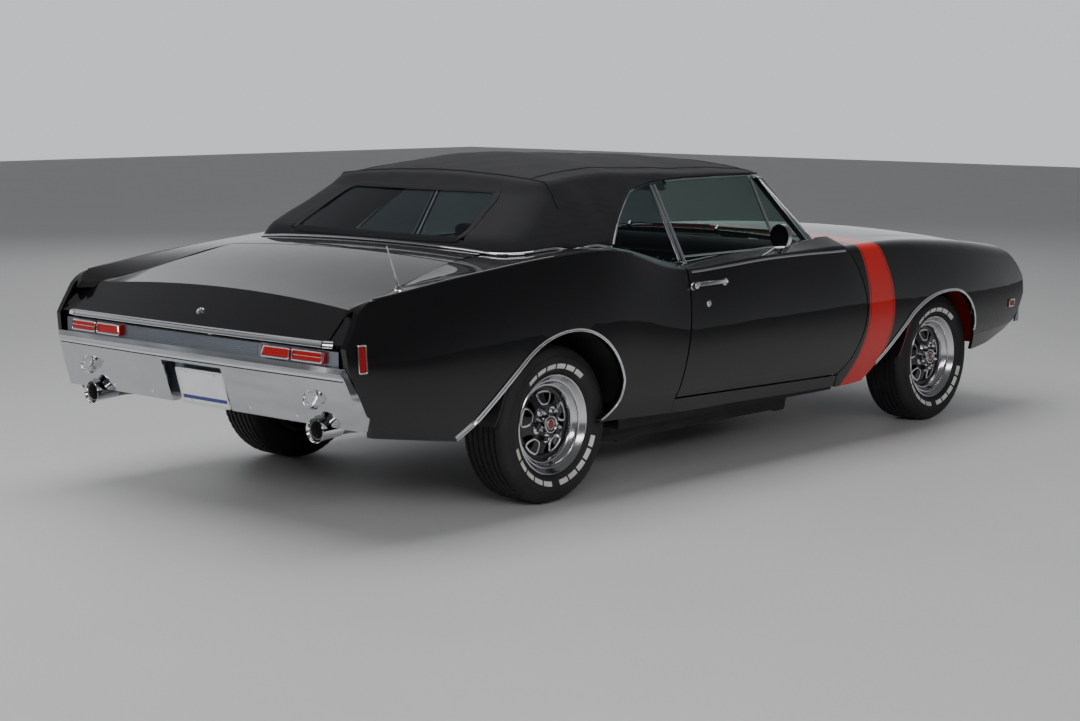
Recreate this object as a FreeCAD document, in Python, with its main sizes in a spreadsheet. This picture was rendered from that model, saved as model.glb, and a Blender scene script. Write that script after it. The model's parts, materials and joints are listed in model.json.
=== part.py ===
import FreeCAD, Part
import math
import os
from FreeCAD import Placement, Rotation, Vector

# A mid-size two-door convertible with a raised soft top, built as the real car is built:
# a perimeter frame carries the axles and the engine, body panels hang round a hollow
# cabin, engine bay and trunk, and the doors, lids, steering and wheels are bodies of
# their own. +X is forward, +Y is the car's left, +Z is up, and the ground is z = 0.

# ---------------------------------------------------------------------------
# Driving dimensions, in millimetres (angles in degrees)
# ---------------------------------------------------------------------------

SIZES = [
    ("wheelbase", 2845.0, "axle to axle"),
    ("front_axle_x", 1540.0, "front axle ahead of the middle of the car"),
    ("track", 1499.0, "between the middles of the two wheels of an axle"),
    ("half_width", 960.0, "body at its widest, from the centre plane"),
    ("belt_height", 915.0, "bright belt line on the door"),
    ("sill_height", 290.0, "lower edge of the body side under the door"),
    ("skin", 24.0, "outer wall of quarters and fenders"),
    ("door_wall", 112.0, "whole door, outer skin to trim"),
    ("door_edge_skin", 7.0, "door skin where it overhangs the inner door box"),
    ("door_edge_reach", 34.0, "how far the skin overhangs the inner box"),
    ("shut_gap", 8.0, "gap round doors and lids"),
    ("seam", 1.5, "gap between fixed pieces"),
    ("lid_wall", 26.0, "hood and trunk lid, skin to inner panel"),
    ("tyre_radius", 320.0, "outer radius of the tyre, also the height of the axle"),
    ("tyre_width", 235.0, "section width of the tyre"),
    ("rim_radius", 204.0, "flange of the wheel"),
    ("rim_width", 186.0, "wheel over its flanges"),
    ("hub_radius", 34.0, "centre cap ring"),
    ("kingpin_y", 705.0, "steering axis from the centre plane"),
    ("drum_radius", 134.0, "brake drum"),
    ("roof_height", 1345.0, "crown of the soft top at its highest"),
    ("roof_half_width", 628.0, "soft top at the rail over the side glass"),
    ("top_cloth", 14.0, "soft top with its padding"),
    ("glass", 6.0, "glass thickness"),
    ("floor_height", 235.0, "underside of the floor pan"),
    ("frame_height", 165.0, "underside of the frame rails"),
    ("rail_height", 70.0, "frame rail depth"),
    ("rail_width", 70.0, "frame rail width"),
    ("rail_y", 640.0, "side rail's middle under the cabin"),
    ("pipe_radius", 27.0, "exhaust pipe"),
    ("tip_radius", 38.0, "exhaust tip"),
    ("wheel_rim_radius", 195.0, "steering wheel"),
    ("seat_width", 560.0, "one front bucket seat"),
    ("plate_width", 290.0, "number plate"),
    ("plate_height", 148.0, "number plate"),
    ("lug_face", 70.0, "side of the square jacking pad"),
]

doc = FreeCAD.newDocument("MuscleCar")
sheet = doc.addObject("Spreadsheet::Sheet", "Sizes")
for row, (alias, value, note) in enumerate(SIZES, start=1):
    sheet.set("A%d" % row, note)
    sheet.set("B%d" % row, str(value))
    sheet.setAlias("B%d" % row, alias)
doc.recompute()


def size(alias):
    """A driving dimension, read from the sheet."""
    return float(sheet.get(alias))


FRONT = size("front_axle_x")
REAR = FRONT - size("wheelbase")
WHEEL_Y = size("track") / 2
WIDE = size("half_width")
HOOD_HALF = WIDE - 258     # side edge of the hood
COWL_HALF = WIDE - 174     # side edge of the cowl
BELT = size("belt_height")
SILL = size("sill_height")
SKIN = size("skin")
GAP = size("shut_gap")
SEAM = size("seam")
AXLE_Z = size("tyre_radius")

nodes = []


# ---------------------------------------------------------------------------
# Small tools for outlines, prisms and lofts
# ---------------------------------------------------------------------------

def path(points):
    """Closed face from corner vectors; a tuple (middle, end) is a three-point arc."""
    edges = []
    here = points[0]
    for step in list(points[1:]) + [points[0]]:
        if isinstance(step, tuple):
            edges.append(Part.Arc(here, step[0], step[1]).toShape())
            here = step[1]
        elif here.distanceToPoint(step) > 1e-6:
            edges.append(Part.makeLine(here, step))
            here = step
    return Part.Wire(edges)


def in_side_plane(outline, y=0.0):
    """Outline of (x, z) points; a pair of points in a list is an arc's middle and end."""
    points = []
    for step in outline:
        if isinstance(step, list):
            points.append(tuple(Vector(x, y, z) for x, z in step))
        else:
            points.append(Vector(step[0], y, step[1]))
    return points


def side_prism(outline, y_low, y_high):
    """Prism along Y from an outline in the side view."""
    face = Part.Face(path(in_side_plane(outline, y_low)))
    return face.extrude(Vector(0, y_high - y_low, 0))


def plan_prism(outline, z_low, z_high):
    """Prism along Z from an outline of (x, y) points, arcs as in side_prism."""
    points = []
    for step in outline:
        if isinstance(step, list):
            points.append(tuple(Vector(x, y, z_low) for x, y in step))
        else:
            points.append(Vector(step[0], step[1], z_low))
    return Part.Face(path(points)).extrude(Vector(0, 0, z_high - z_low))


def cross_prism(outline, x_low, x_high):
    """Prism along X from an outline of (y, z) points."""
    points = [Vector(x_low, y, z) for y, z in outline]
    return Part.Face(path(points)).extrude(Vector(x_high - x_low, 0, 0))


def block(x_low, x_high, y_low, y_high, z_low, z_high):
    """Plain box between two corners."""
    return Part.makeBox(x_high - x_low, y_high - y_low, z_high - z_low,
                        Vector(x_low, y_low, z_low))


def rod(start, end, radius):
    """Round bar between two points."""
    run = end - start
    return Part.makeCylinder(radius, run.Length, start, run)


def mirrored(shape):
    """The same piece on the other side of the car."""
    return shape.mirror(Vector(0, 0, 0), Vector(0, 1, 0))


def both_sides(shape):
    """The piece and its mirror image, as separate solids of one node."""
    return Part.makeCompound(shape.Solids + mirrored(shape).Solids)


def pipe(points, radius, wall=None):
    """Round bar or tube through corner points, with tangent arcs at the bends."""
    edges = []
    here = points[0]
    for before, corner, after in zip(points, points[1:], points[2:]):
        back = (before - corner)
        ahead = (after - corner)
        cut = 0.45 * min(back.Length, ahead.Length)
        back = back.normalize()
        ahead = ahead.normalize()
        enter = corner + back * cut
        leave = corner + ahead * cut
        half = back.getAngle(ahead) / 2
        middle = (back + ahead).normalize()
        reach = cut / math.cos(half) - cut * math.tan(half)
        edges.append(Part.makeLine(here, enter))
        edges.append(Part.Arc(enter, corner + middle * reach, leave).toShape())
        here = leave
    edges.append(Part.makeLine(here, points[-1]))
    spine = Part.Wire(edges)
    start = points[1] - points[0]
    ring = Part.Wire(Part.makeCircle(radius, points[0], start))
    outer = spine.makePipeShell([ring], True, True)
    if wall is None:
        return outer
    inner = Part.Wire(Part.makeCircle(radius - wall, points[0], start))
    return outer.cut(spine.makePipeShell([inner], True, True))


def largest(shape):
    """The biggest solid of a shape, without the crumbs a cut may leave."""
    return max(shape.Solids, key=lambda solid: solid.Volume)


def add_form(label, shape):
    """A sub-part whose shape has been worked out above."""
    solids = shape.Solids
    feature = doc.addObject("Part::Feature", label)
    feature.Shape = solids[0] if len(solids) == 1 else Part.makeCompound(solids)
    feature.Label = label
    nodes.append(feature)
    return feature


def bound_box(label, lengths, corner, turn=Rotation()):
    """A plain box that follows the sheet: side lengths and corner are expressions."""
    box = doc.addObject("Part::Box", label)
    box.Placement = Placement(Vector(0, 0, 0), turn)
    for name, rule in zip(("Length", "Width", "Height"), lengths):
        box.setExpression(name, rule)
    for axis, rule in zip("xyz", corner):
        box.setExpression("Placement.Base." + axis, rule)
    box.Label = label
    box.recompute()
    nodes.append(box)
    return box


# ---------------------------------------------------------------------------
# Body lines: each row is one cross-section of the body side. x is measured from
# an axle, y as an inset from the widest half width, z from the belt or the ground.
# ---------------------------------------------------------------------------

#  x from axle | edge y, z | crest y, z | widest y, z | crease y, z | sill y, z | shoulder
SIDE_ROWS = [
    ("rear", -1190, 183, -78, 100, -66, 92, 640, 104, 470, 122, 110, 12),
    ("rear", -995, 208, -57, 92, -12, 50, 630, 62, 432, 90, 75, 12),
    ("rear", -655, 261, 14, 76, 31, 22, 625, 35, 406, 67, 45, 12),
    ("rear", -395, 302, 69, 70, 58, 14, 623, 28, 400, 61, 34, 12),
    ("rear", -145, 300, 88, 67, 80, 10, 622, 25, 398, 58, 28, 12),
    ("rear", 113, 200, 97, 63, 94, 7, 620, 23, 396, 57, 22, 12),
    ("rear", 289, 188, 95, 62, 91, 7, 620, 23, 396, 58, 18, 12),
    ("rear", 431, 190, 88, 64, 70, 9, 620, 24, 396, 59, 13, 12),
    ("rear", 631, 162, 45, 68, 11, 11, 620, 25, 396, 60, 6, 12),
    ("rear", 797, 148, 3, 71, -18, 12, 620, 26, 396, 60, 0, 12),
    ("rear", 1053, 149, 11, 73, -11, 13, 620, 27, 396, 61, -2, 12),
    ("rear", 1350, 157, 25, 75, 2, 14, 620, 28, 396, 62, -6, 12),
    ("front", -1183, 163, 37, 76, 5, 14, 620, 29, 395, 65, -12, 12),
    ("front", -730, 170, 27, 78, 0, 14, 620, 31, 396, 67, -15, 12),
]

FENDER_ROWS = [
    ("front", -980, 258, 26, 78, 2, 14, 620, 30, 396, 66, -14, 30),
    ("front", -730, 258, 25, 79, 6, 14, 620, 31, 396, 67, -14, 34),
    ("front", -435, 260, 21, 82, 10, 14, 620, 32, 400, 67, 8, 42),
    ("front", 0, 268, 3, 87, -11, 13, 622, 34, 402, 70, 20, 46),
    ("front", 310, 278, -25, 94, -37, 22, 620, 45, 412, 80, 40, 46),
    ("front", 610, 288, -63, 103, -75, 45, 612, 65, 432, 98, 80, 44),
    ("front", 840, 296, -97, 114, -110, 75, 600, 92, 470, 120, 140, 40),
]


def station(row):
    """Corner points of one body-side section, as a dictionary of (y, z) pairs."""
    axle = FRONT if row[0] == "front" else REAR
    return {
        "x": axle + row[1],
        "edge": (WIDE - row[2], BELT + row[3]),
        "crest": (WIDE - row[4], BELT + row[5]),
        "wide": (WIDE - row[6], row[7]),
        "crease": (WIDE - row[8], row[9]),
        "sill": (WIDE - row[10], SILL + row[11]),
        "shoulder": row[12],
    }


def side_curve(place, inset):
    """Points down the body side at one station, moved inward by the inset."""
    x = place["x"]
    edge = Vector(x, place["edge"][0], place["edge"][1] - inset)
    crest = Vector(x, place["crest"][0] - inset, place["crest"][1] - inset)
    wide = Vector(x, place["wide"][0] - inset, place["wide"][1])
    crease = Vector(x, place["crease"][0] - inset, place["crease"][1])
    sill = Vector(x, place["sill"][0] - inset, place["sill"][1])
    side = Part.Arc(crest, wide, crease).toShape()
    reach = place["shoulder"]
    inboard = crest + (edge - crest).normalize() * reach
    below = side.valueAt(side.getParameterByLength(reach))
    middle = side.valueAt(side.getParameterByLength(side.Length / 2))
    round_middle = crest + ((inboard + below) * 0.5 - crest) * 0.586
    return edge, inboard, round_middle, below, middle, crease, sill


def skin_section(place, wall):
    """Closed section of a wall that follows the body side."""
    edge, inboard, bend, below, middle, crease, sill = side_curve(place, 0.0)
    e2, i2, b2, w2, m2, c2, s2 = side_curve(place, wall)
    return path([edge, inboard, (bend, below), (middle, crease), sill,
                 s2, c2, (m2, w2), (b2, i2), e2])


def full_section(place, inner_y, inset):
    """Closed section from the body side, moved in by the inset, to a flat inner face."""
    edge, inboard, bend, below, middle, crease, sill = side_curve(place, inset)
    low = Vector(place["x"], inner_y, sill.z)
    high = Vector(place["x"], inner_y, edge.z)
    return path([edge, inboard, (bend, below), (middle, crease), sill, low, high])


def side_wall(rows, wall):
    """Left body side as a wall of even thickness."""
    sections = [skin_section(station(row), wall) for row in rows]
    return Part.makeLoft(sections, True, False)


def side_mass(rows, inner_y, inset=0.0):
    """Left body side, filled in to a flat inner face."""
    sections = [full_section(station(row), inner_y, inset) for row in rows]
    return Part.makeLoft(sections, True, False)


# ---------------------------------------------------------------------------
# Outlines in the side view
# ---------------------------------------------------------------------------

DOOR_TOP = BELT + 120
DOOR_BOTTOM_REAR = SILL + 72
DOOR_BOTTOM_FRONT = SILL + 45
DOOR_REAR_X = REAR + 693
DOOR_FRONT_X = FRONT - 940


def door_rear_line(shift):
    """Rear shut line from the top down: start, then an arc to the bottom corner."""
    top = (REAR + 813 + shift, DOOR_TOP)
    middle = (REAR + 765 + shift, 650)
    low = (DOOR_REAR_X + shift, DOOR_BOTTOM_REAR)
    return top, middle, low


def door_outline(grow):
    """Door outline, larger by grow on every side."""
    top, middle, low = door_rear_line(-grow)
    low = (low[0], low[1] - grow)
    front_low = (DOOR_FRONT_X + grow, DOOR_BOTTOM_FRONT - grow)
    front_wide = (FRONT - 745 + grow, 640)
    front_top = (FRONT - 852 + grow, BELT + 10)
    head = (FRONT - 900 + grow, DOOR_TOP)
    return [top, [middle, low], front_low,
            [(FRONT - 803 + grow, 470 - grow / 2), front_wide],
            [(FRONT - 770 + grow, 765), front_top], head]


def rear_opening(grow):
    """Rear wheel opening: a round arch with a straight, trailing rear edge."""
    def at(dx, dz):
        return (REAR + dx, AXLE_Z + dz)
    return [at(205, -140), at(222 + grow, 4),
            [at(302 + grow, 78), at(320 + grow, 159)],
            [at(217 + grow * 0.7, 313 + grow * 0.7), at(29, 386 + grow)],
            [at(-150, 356 + grow), at(-283 - grow * 0.6, 276 + grow * 0.7)],
            at(-567 - grow * 0.7, 43 + grow * 0.7), at(-790, -140)]


def front_opening(grow):
    """Front wheel opening: flatter arch, also trailing towards the rear."""
    def at(dx, dz):
        return (FRONT + dx, AXLE_Z + dz)
    return [at(254, -140), at(254 + grow, 8),
            [at(259 + grow, 80), at(256 + grow, 150)],
            [at(190 + grow * 0.7, 268 + grow * 0.7), at(8, 339 + grow)],
            [at(-186, 316 + grow), at(-347 - grow * 0.6, 246 + grow * 0.7)],
            at(-701 - grow * 0.7, -39 + grow * 0.7), at(-830, -140)]


# ---------------------------------------------------------------------------
# The tail is bowed in plan and crowned: every tail piece is one profile in the
# centre plane swept round a tilted axis far ahead of the car.
# ---------------------------------------------------------------------------

REAR_OVERHANG = 1159.0
TAIL_X = REAR - REAR_OVERHANG
TAIL_RULE = "(Sizes.front_axle_x - Sizes.wheelbase - %g)" % REAR_OVERHANG
TAIL_Z = BELT - 168
TAIL_SWEEP_RADIUS = 20000.0
TAIL_TILT = math.radians(11.5)
sweep_inward = Vector(math.cos(TAIL_TILT), 0, -math.sin(TAIL_TILT))
sweep_axis = Vector(math.sin(TAIL_TILT), 0, math.cos(TAIL_TILT))
sweep_centre = Vector(TAIL_X, 0, TAIL_Z) + sweep_inward * TAIL_SWEEP_RADIUS


def tail_sweep(outline, y_low, y_high):
    """Sweep an (x, z) outline given at the centre plane between two y values."""
    start = math.degrees(math.asin(y_low / TAIL_SWEEP_RADIUS))
    end = math.degrees(math.asin(y_high / TAIL_SWEEP_RADIUS))
    face = Part.Face(path(in_side_plane(outline)))
    face.rotate(sweep_centre, sweep_axis, -start)
    return face.revolve(sweep_centre, sweep_axis, -(end - start))


# ---------------------------------------------------------------------------
# Glass: every side pane lies in one leaning plane
# ---------------------------------------------------------------------------

GLASS_SIDE_X = FRONT - 976
GLASS_CENTRE_X = FRONT - 800
LEAN = 0.59
SILL_LINE_Y = 802.0
SILL_LINE_Z = BELT + 27


def lean_y(z):
    """y of the side glass at height z."""
    return SILL_LINE_Y - LEAN * (z - SILL_LINE_Z)


def pane(corners):
    """Left side pane from (x, z) corners."""
    points = [Vector(x, lean_y(z), z) for x, z in corners]
    normal = Vector(0, 1, LEAN).normalize()
    return Part.Face(path(points)).extrude(normal * size("glass"))


A_BASE = (GLASS_SIDE_X, BELT + 27)
A_TOP = (FRONT - 1201, 1254)
WINDOW_TOP = 1251.0
VENT_TOP_X, VENT_BASE_X = FRONT - 1262, FRONT - 1291
B_TOP_X, B_BASE_X = REAR + 871, REAR + 850
POST = 12.0
glass_foot = BELT - 25

door_glass = pane([(B_BASE_X + POST, glass_foot), (B_TOP_X + POST, WINDOW_TOP - 8),
                   (REAR + 1106, WINDOW_TOP), (VENT_TOP_X - POST, WINDOW_TOP),
                   (VENT_BASE_X - POST, glass_foot)])
vent_glass = pane([(VENT_BASE_X + POST, glass_foot), (VENT_TOP_X + POST, WINDOW_TOP),
                   (A_TOP[0] - 40, WINDOW_TOP), (A_BASE[0] - 28, A_BASE[1]),
                   (A_BASE[0] - 28, glass_foot)])
glass_pair = Part.makeCompound(door_glass.Solids + vent_glass.Solids)

QUARTER_GLASS = [(B_BASE_X - POST, BELT - 16), (B_TOP_X - POST, WINDOW_TOP - 10),
                 (REAR + 738, 1219), (REAR + 712, 1211), (REAR + 560, 1108),
                 (REAR + 446, 1010), (REAR + 446, 990), (REAR + 564, 962),
                 (REAR + 665, 935)]
quarter_glass = pane(QUARTER_GLASS)
add_form("door_glass_left", glass_pair)
add_form("door_glass_right", mirrored(glass_pair))
add_form("quarter_glass", both_sides(quarter_glass))


def windshield_ring(side_x, side_y, side_z, bow, rise, wall):
    """Closed curved outline: outer arc, then the inner arc back."""
    left, right = Vector(side_x, side_y, side_z), Vector(side_x, -side_y, side_z)
    crown = Vector(side_x + bow, 0, side_z + rise)
    back = Vector(bow, 0, rise).normalize() * -wall
    return path([left, (crown, right), right + back, (crown + back, left + back)])


pillar_base = Vector(A_BASE[0], lean_y(A_BASE[1]) + 2, A_BASE[1] - 30)
pillar_top = Vector(A_TOP[0], lean_y(A_TOP[1]) + 2, A_TOP[1] + 6)
windshield = Part.makeLoft(
    [windshield_ring(pillar_base.x + 14, pillar_base.y - 34, pillar_base.z + 30, 170, 2, 7),
     windshield_ring(pillar_top.x + 14, pillar_top.y - 34, pillar_top.z + 6, 84, 26, 7)], True, True)


def pillar_square(centre, along, across):
    """Flat rectangle about a point of the windshield pillar."""
    a, b = along / 2, across / 2
    return path([centre + Vector(-a, -b, 0), centre + Vector(a, -b, 0),
                 centre + Vector(a, b, 0), centre + Vector(-a, b, 0)])


pillar = Part.makeLoft([pillar_square(pillar_base - Vector(0, 12, 0), 46, 34),
                        pillar_square(pillar_top - Vector(0, 12, 0), 40, 34)], True, True)
header_front, header_rise = 84.0, 32.0


def header_ring(side_x, side_z, y):
    """Section of the header beam, standing across it."""
    return path([Vector(side_x - 26, y, side_z - 16), Vector(side_x + 22, y, side_z - 20),
                 Vector(side_x + 26, y, side_z + 4), Vector(side_x - 26, y, side_z + 12)])


header = Part.makeLoft([header_ring(pillar_top.x, pillar_top.z, -pillar_top.y - 4),
                        header_ring(pillar_top.x + header_front * 0.75, pillar_top.z + header_rise * 0.75,
                                    -pillar_top.y / 2),
                        header_ring(pillar_top.x + header_front, pillar_top.z + header_rise, 0),
                        header_ring(pillar_top.x + header_front * 0.75, pillar_top.z + header_rise * 0.75,
                                    pillar_top.y / 2),
                        header_ring(pillar_top.x, pillar_top.z, pillar_top.y + 4)], True, False)
frame = pillar.fuse(mirrored(pillar)).fuse(header).cut(windshield)
pillar_notch = Part.makeLoft([pillar_square(pillar_base - Vector(0, 12, 0), 62, 50),
                              pillar_square(pillar_top - Vector(0, 12, 0), 56, 50)], True, True)

# ---------------------------------------------------------------------------
# Body shell
# ---------------------------------------------------------------------------

rear_wall = side_wall(SIDE_ROWS, SKIN)
door_rows = SIDE_ROWS[8:]
DOOR_INNER_Y = WIDE - size("door_wall") - 60
door_mass = side_mass(door_rows, DOOR_INNER_Y)
fender_wall = side_wall(FENDER_ROWS, SKIN)

# Lids: x from axle, half width, edge height and crown over the belt
DECK_ROWS = [
    ("rear", -1210, 780, -80, -52),
    ("rear", -995, 752, -57, -28),
    ("rear", -655, 699, 14, 40),
    ("rear", -395, 658, 69, 91),
    ("rear", -60, 608, 88, 104),
]
HOOD_ROWS = [
    ("front", -1000, HOOD_HALF, 26, 48),
    ("front", -435, HOOD_HALF, 20, 52),
    ("front", 0, 692, 3, 36),
    ("front", 310, 682, -25, 10),
    ("front", 610, 672, -63, -28),
    ("front", 840, 664, -97, -64),
]


def lid_section(row, depth):
    """Crowned section across the car, its underside lower by depth."""
    axle = FRONT if row[0] == "front" else REAR
    x = axle + row[1]
    half, edge, crown = row[2] + 40, BELT + row[3], BELT + row[4]
    fall = (crown - edge) * ((half / row[2]) ** 2 - 1)
    edge = edge - fall
    right, top, left = Vector(x, -half, edge), Vector(x, 0, crown), Vector(x, half, edge)
    down = Vector(0, 0, -depth)
    return path([right, (top, left), left + down, (top + down, right + down)])


def lid_sheet(rows, depth):
    """Crowned sheet from a table of lid rows."""
    return Part.makeLoft([lid_section(row, depth) for row in rows], True, False)


deck_sheet = lid_sheet(DECK_ROWS, size("lid_wall"))
hood_sheet = lid_sheet(HOOD_ROWS, size("lid_wall"))

LID_FRONT = REAR - 395
HOOD_REAR_SIDE = FRONT - 820
HOOD_REAR_CENTRE = FRONT - 690
HOOD_NOSE = FRONT + 790


def lid_line(x):
    """Half width of the trunk lid at x."""
    return 658 + (LID_FRONT - x) * 97.0 / 622.0


def lid_plan(grow):
    """Trunk lid outline in plan, larger by grow."""
    front = LID_FRONT + grow
    tail = REAR - 1300
    wide, narrow = lid_line(tail) + grow, lid_line(front) + grow
    return [(tail, -wide), (front, -narrow), (front, narrow), (tail, wide)]


def hood_plan(grow):
    """Hood outline in plan, its rear edge bowed forward at the middle."""
    side = HOOD_REAR_SIDE - grow
    nose = HOOD_NOSE + grow
    half, nose_half = HOOD_HALF + grow, HOOD_HALF - 34 + grow
    return [(side, half), [(HOOD_REAR_CENTRE - grow, 0), (side, -half)],
            (FRONT - 435, -half), (nose, -nose_half), (nose, nose_half),
            (FRONT - 435, half)]


# Quarter panels: tail fin, arch, then forward to the door's rear shut line
rear_top, rear_middle, rear_low = door_rear_line(-GAP)
quarter_zone = side_prism(
    [(REAR - 1400, 150), (REAR - 1400, 1300), (rear_top[0], 1300), rear_top,
     [rear_middle, rear_low], (rear_low[0], 150)], 400, 1100)
FIN_OUTLINE = [
    (TAIL_X - 5, TAIL_Z - 10), (TAIL_X + 46, TAIL_Z + 76),
    [(TAIL_X + 75, TAIL_Z + 120), (TAIL_X + 138, TAIL_Z + 155)],
    (TAIL_X + 190, TAIL_Z + 330), (REAR + 1000, TAIL_Z + 330),
    (REAR + 1000, 100), (TAIL_X + 120, 400), (TAIL_X + 5, TAIL_Z - 90)]
fin_zone = tail_sweep(FIN_OUTLINE, 300, 1500)
lid_clear = plan_prism(lid_plan(GAP), 500, 1300)
quarter = rear_wall.common(quarter_zone).common(fin_zone)
quarter = quarter.cut(lid_clear).cut(side_prism(rear_opening(0), 400, 1100))
quarter = largest(quarter.cut(quarter_glass))
add_form("quarter_panel_left", quarter)
add_form("quarter_panel_right", mirrored(quarter))

# Rockers close the body under the doors
rocker_zone = side_prism(
    [(rear_low[0] + SEAM, 150), (rear_low[0] + SEAM, DOOR_BOTTOM_REAR - GAP),
     (DOOR_FRONT_X + GAP - SEAM, DOOR_BOTTOM_FRONT - GAP), (DOOR_FRONT_X + GAP - SEAM, 150)],
    500, 1100)
rocker = door_mass.common(rocker_zone)
add_form("rockers", both_sides(rocker))

# Fenders: from the door's front shut line to the nose
front_low = (DOOR_FRONT_X + GAP, DOOR_BOTTOM_FRONT)
fender_zone = side_prism(
    [(front_low[0], 150), front_low, [(FRONT - 803 + GAP, 470), (FRONT - 745 + GAP, 640)],
     [(FRONT - 770 + GAP, 765), (FRONT - 852 + GAP, BELT + 10)], (FRONT - 900 + GAP, 1300),
     (FRONT + 400, 1300), (FRONT + 451, 872),
     [(FRONT + 690, 798), (FRONT + 809, 672)], (FRONT + 815, 584),
     (FRONT + 747, 467), (FRONT + 649, 405), (FRONT + 483, 350), (FRONT + 272, 318),
     (FRONT + 100, 318), (FRONT + 100, 150)], 400, 1100)
COWL_FRONT = HOOD_REAR_SIDE - GAP
fender = fender_wall.common(fender_zone).cut(plan_prism(hood_plan(GAP), 700, 1300))
fender = fender.cut(block(0, COWL_FRONT + 1, 0, COWL_HALF + SEAM, 850, 1300))
TREAD_EDGE = WHEEL_Y + size("rim_width") / 2 - size("kingpin_y")
turning_radius = math.hypot(size("tyre_radius"), TREAD_EDGE) + 10
turning_room = Part.makeSphere(turning_radius, Vector(FRONT, size("kingpin_y"), AXLE_Z))
fender = largest(fender.cut(side_prism(front_opening(0), 400, 1100)).cut(turning_room))
add_form("fender_left", fender)
add_form("fender_right", mirrored(fender))

# Doors: whole thickness, with a rebate all round so that the outer skin laps the frame
inner_box = side_prism(door_outline(-size("door_edge_reach")), 500, 1100)
rebate = side_mass(door_rows, DOOR_INNER_Y - 20, size("door_edge_skin")).cut(inner_box)
door = door_mass.common(side_prism(door_outline(0), 600, 1100)).cut(rebate)
door = largest(door.cut(pillar_notch).cut(glass_pair).cut(quarter_glass))
add_form("door_left", door)
add_form("door_right", mirrored(door))

# Trunk lid: crowned top and the sloping rear face under it
SLOPE_X, SLOPE_Z = 129.0, 109.0
slope = Vector(SLOPE_X, 0, SLOPE_Z).normalize()
inward = Vector(slope.z, 0, -slope.x)
lid_low = Vector(TAIL_X, 0, TAIL_Z)


def on_slope(along, deep):
    """Point (x, z) on the lid's rear face in the centre plane."""
    spot = lid_low + slope * along + inward * deep
    return (spot.x, spot.z)


lid_wall = size("lid_wall")
behind_outline = [on_slope(0, 0), on_slope(420, 0), (TAIL_X - 300, TAIL_Z + 300),
                  (TAIL_X - 300, TAIL_Z - 400), on_slope(0, 400)]
inner_outline = [on_slope(-60, lid_wall), on_slope(420, lid_wall),
                 (TAIL_X - 300, TAIL_Z + 300), (TAIL_X - 300, TAIL_Z - 400),
                 on_slope(-60, 420)]
lid_mass = lid_sheet(DECK_ROWS, 300).common(plan_prism(lid_plan(0), 400, 1300))
lid_hollow = lid_sheet(DECK_ROWS, 500)
lid_hollow.translate(Vector(0, 0, -lid_wall))
lid_hollow = lid_hollow.cut(tail_sweep(inner_outline, -1000, 1000))
lid = lid_mass.cut(tail_sweep(behind_outline, -1000, 1000)).cut(lid_hollow)
add_form("trunk_lid", lid)

# Rear deck between the lid and the soft top
deck_front = REAR - 60
deck = deck_sheet.common(plan_prism(
    [(LID_FRONT + GAP, -lid_line(LID_FRONT) - 6), (LID_FRONT + GAP, lid_line(LID_FRONT) + 6),
     (deck_front, 618), (deck_front, -618)], 500, 1300))
deck = largest(deck.cut(quarter).cut(mirrored(quarter)))
add_form("rear_deck", deck)

# Hood and cowl
hood = hood_sheet.common(plan_prism(hood_plan(0), 600, 1300))
add_form("hood", hood)

cowl_sheet = lid_sheet([("front", -1020, COWL_HALF, 20, 40), ("front", -600, COWL_HALF, 20, 44)], 22)
cowl = cowl_sheet.common(plan_prism(
    [(GLASS_SIDE_X, -COWL_HALF), [(GLASS_CENTRE_X, 0), (GLASS_SIDE_X, COWL_HALF)],
     (COWL_FRONT, COWL_HALF), (COWL_FRONT, HOOD_HALF),
     [(HOOD_REAR_CENTRE - GAP, 0), (COWL_FRONT, -HOOD_HALF)], (COWL_FRONT, -COWL_HALF)], 800, 1300))
cowl = largest(cowl.cut(windshield).cut(frame))
add_form("cowl", cowl)

# Tail panel behind the lamps and the bumper
panel_x = TAIL_X + 12
PANEL_HALF, PANEL_LOW = WIDE - 134, 464.0
tail_panel = tail_sweep(
    [(panel_x, TAIL_Z - 26), (panel_x, TAIL_Z - 110), (panel_x + 48, TAIL_Z - 150),
     (panel_x + 98, PANEL_LOW), (panel_x + 114, PANEL_LOW), (panel_x + 64, TAIL_Z - 146),
     (panel_x + 16, TAIL_Z - 106), (panel_x + 16, TAIL_Z - 26)], -PANEL_HALF, PANEL_HALF)
add_form("tail_panel", largest(tail_panel.cut(quarter).cut(mirrored(quarter))))

# Tail lamps: two lenses a side, let into a frame
LENS_TOP = TAIL_Z - 32
LENS_BOTTOM = TAIL_Z - 74
lens_outline = [(TAIL_X - 2, LENS_TOP), (TAIL_X - 8, LENS_BOTTOM),
                (panel_x, LENS_BOTTOM), (panel_x, LENS_TOP)]
lenses = (tail_sweep(lens_outline, PANEL_HALF - 394, PANEL_HALF - 238).Solids
          + tail_sweep(lens_outline, PANEL_HALF - 226, PANEL_HALF - 64).Solids)
add_form("tail_lamps", both_sides(Part.makeCompound(lenses)))

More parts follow.
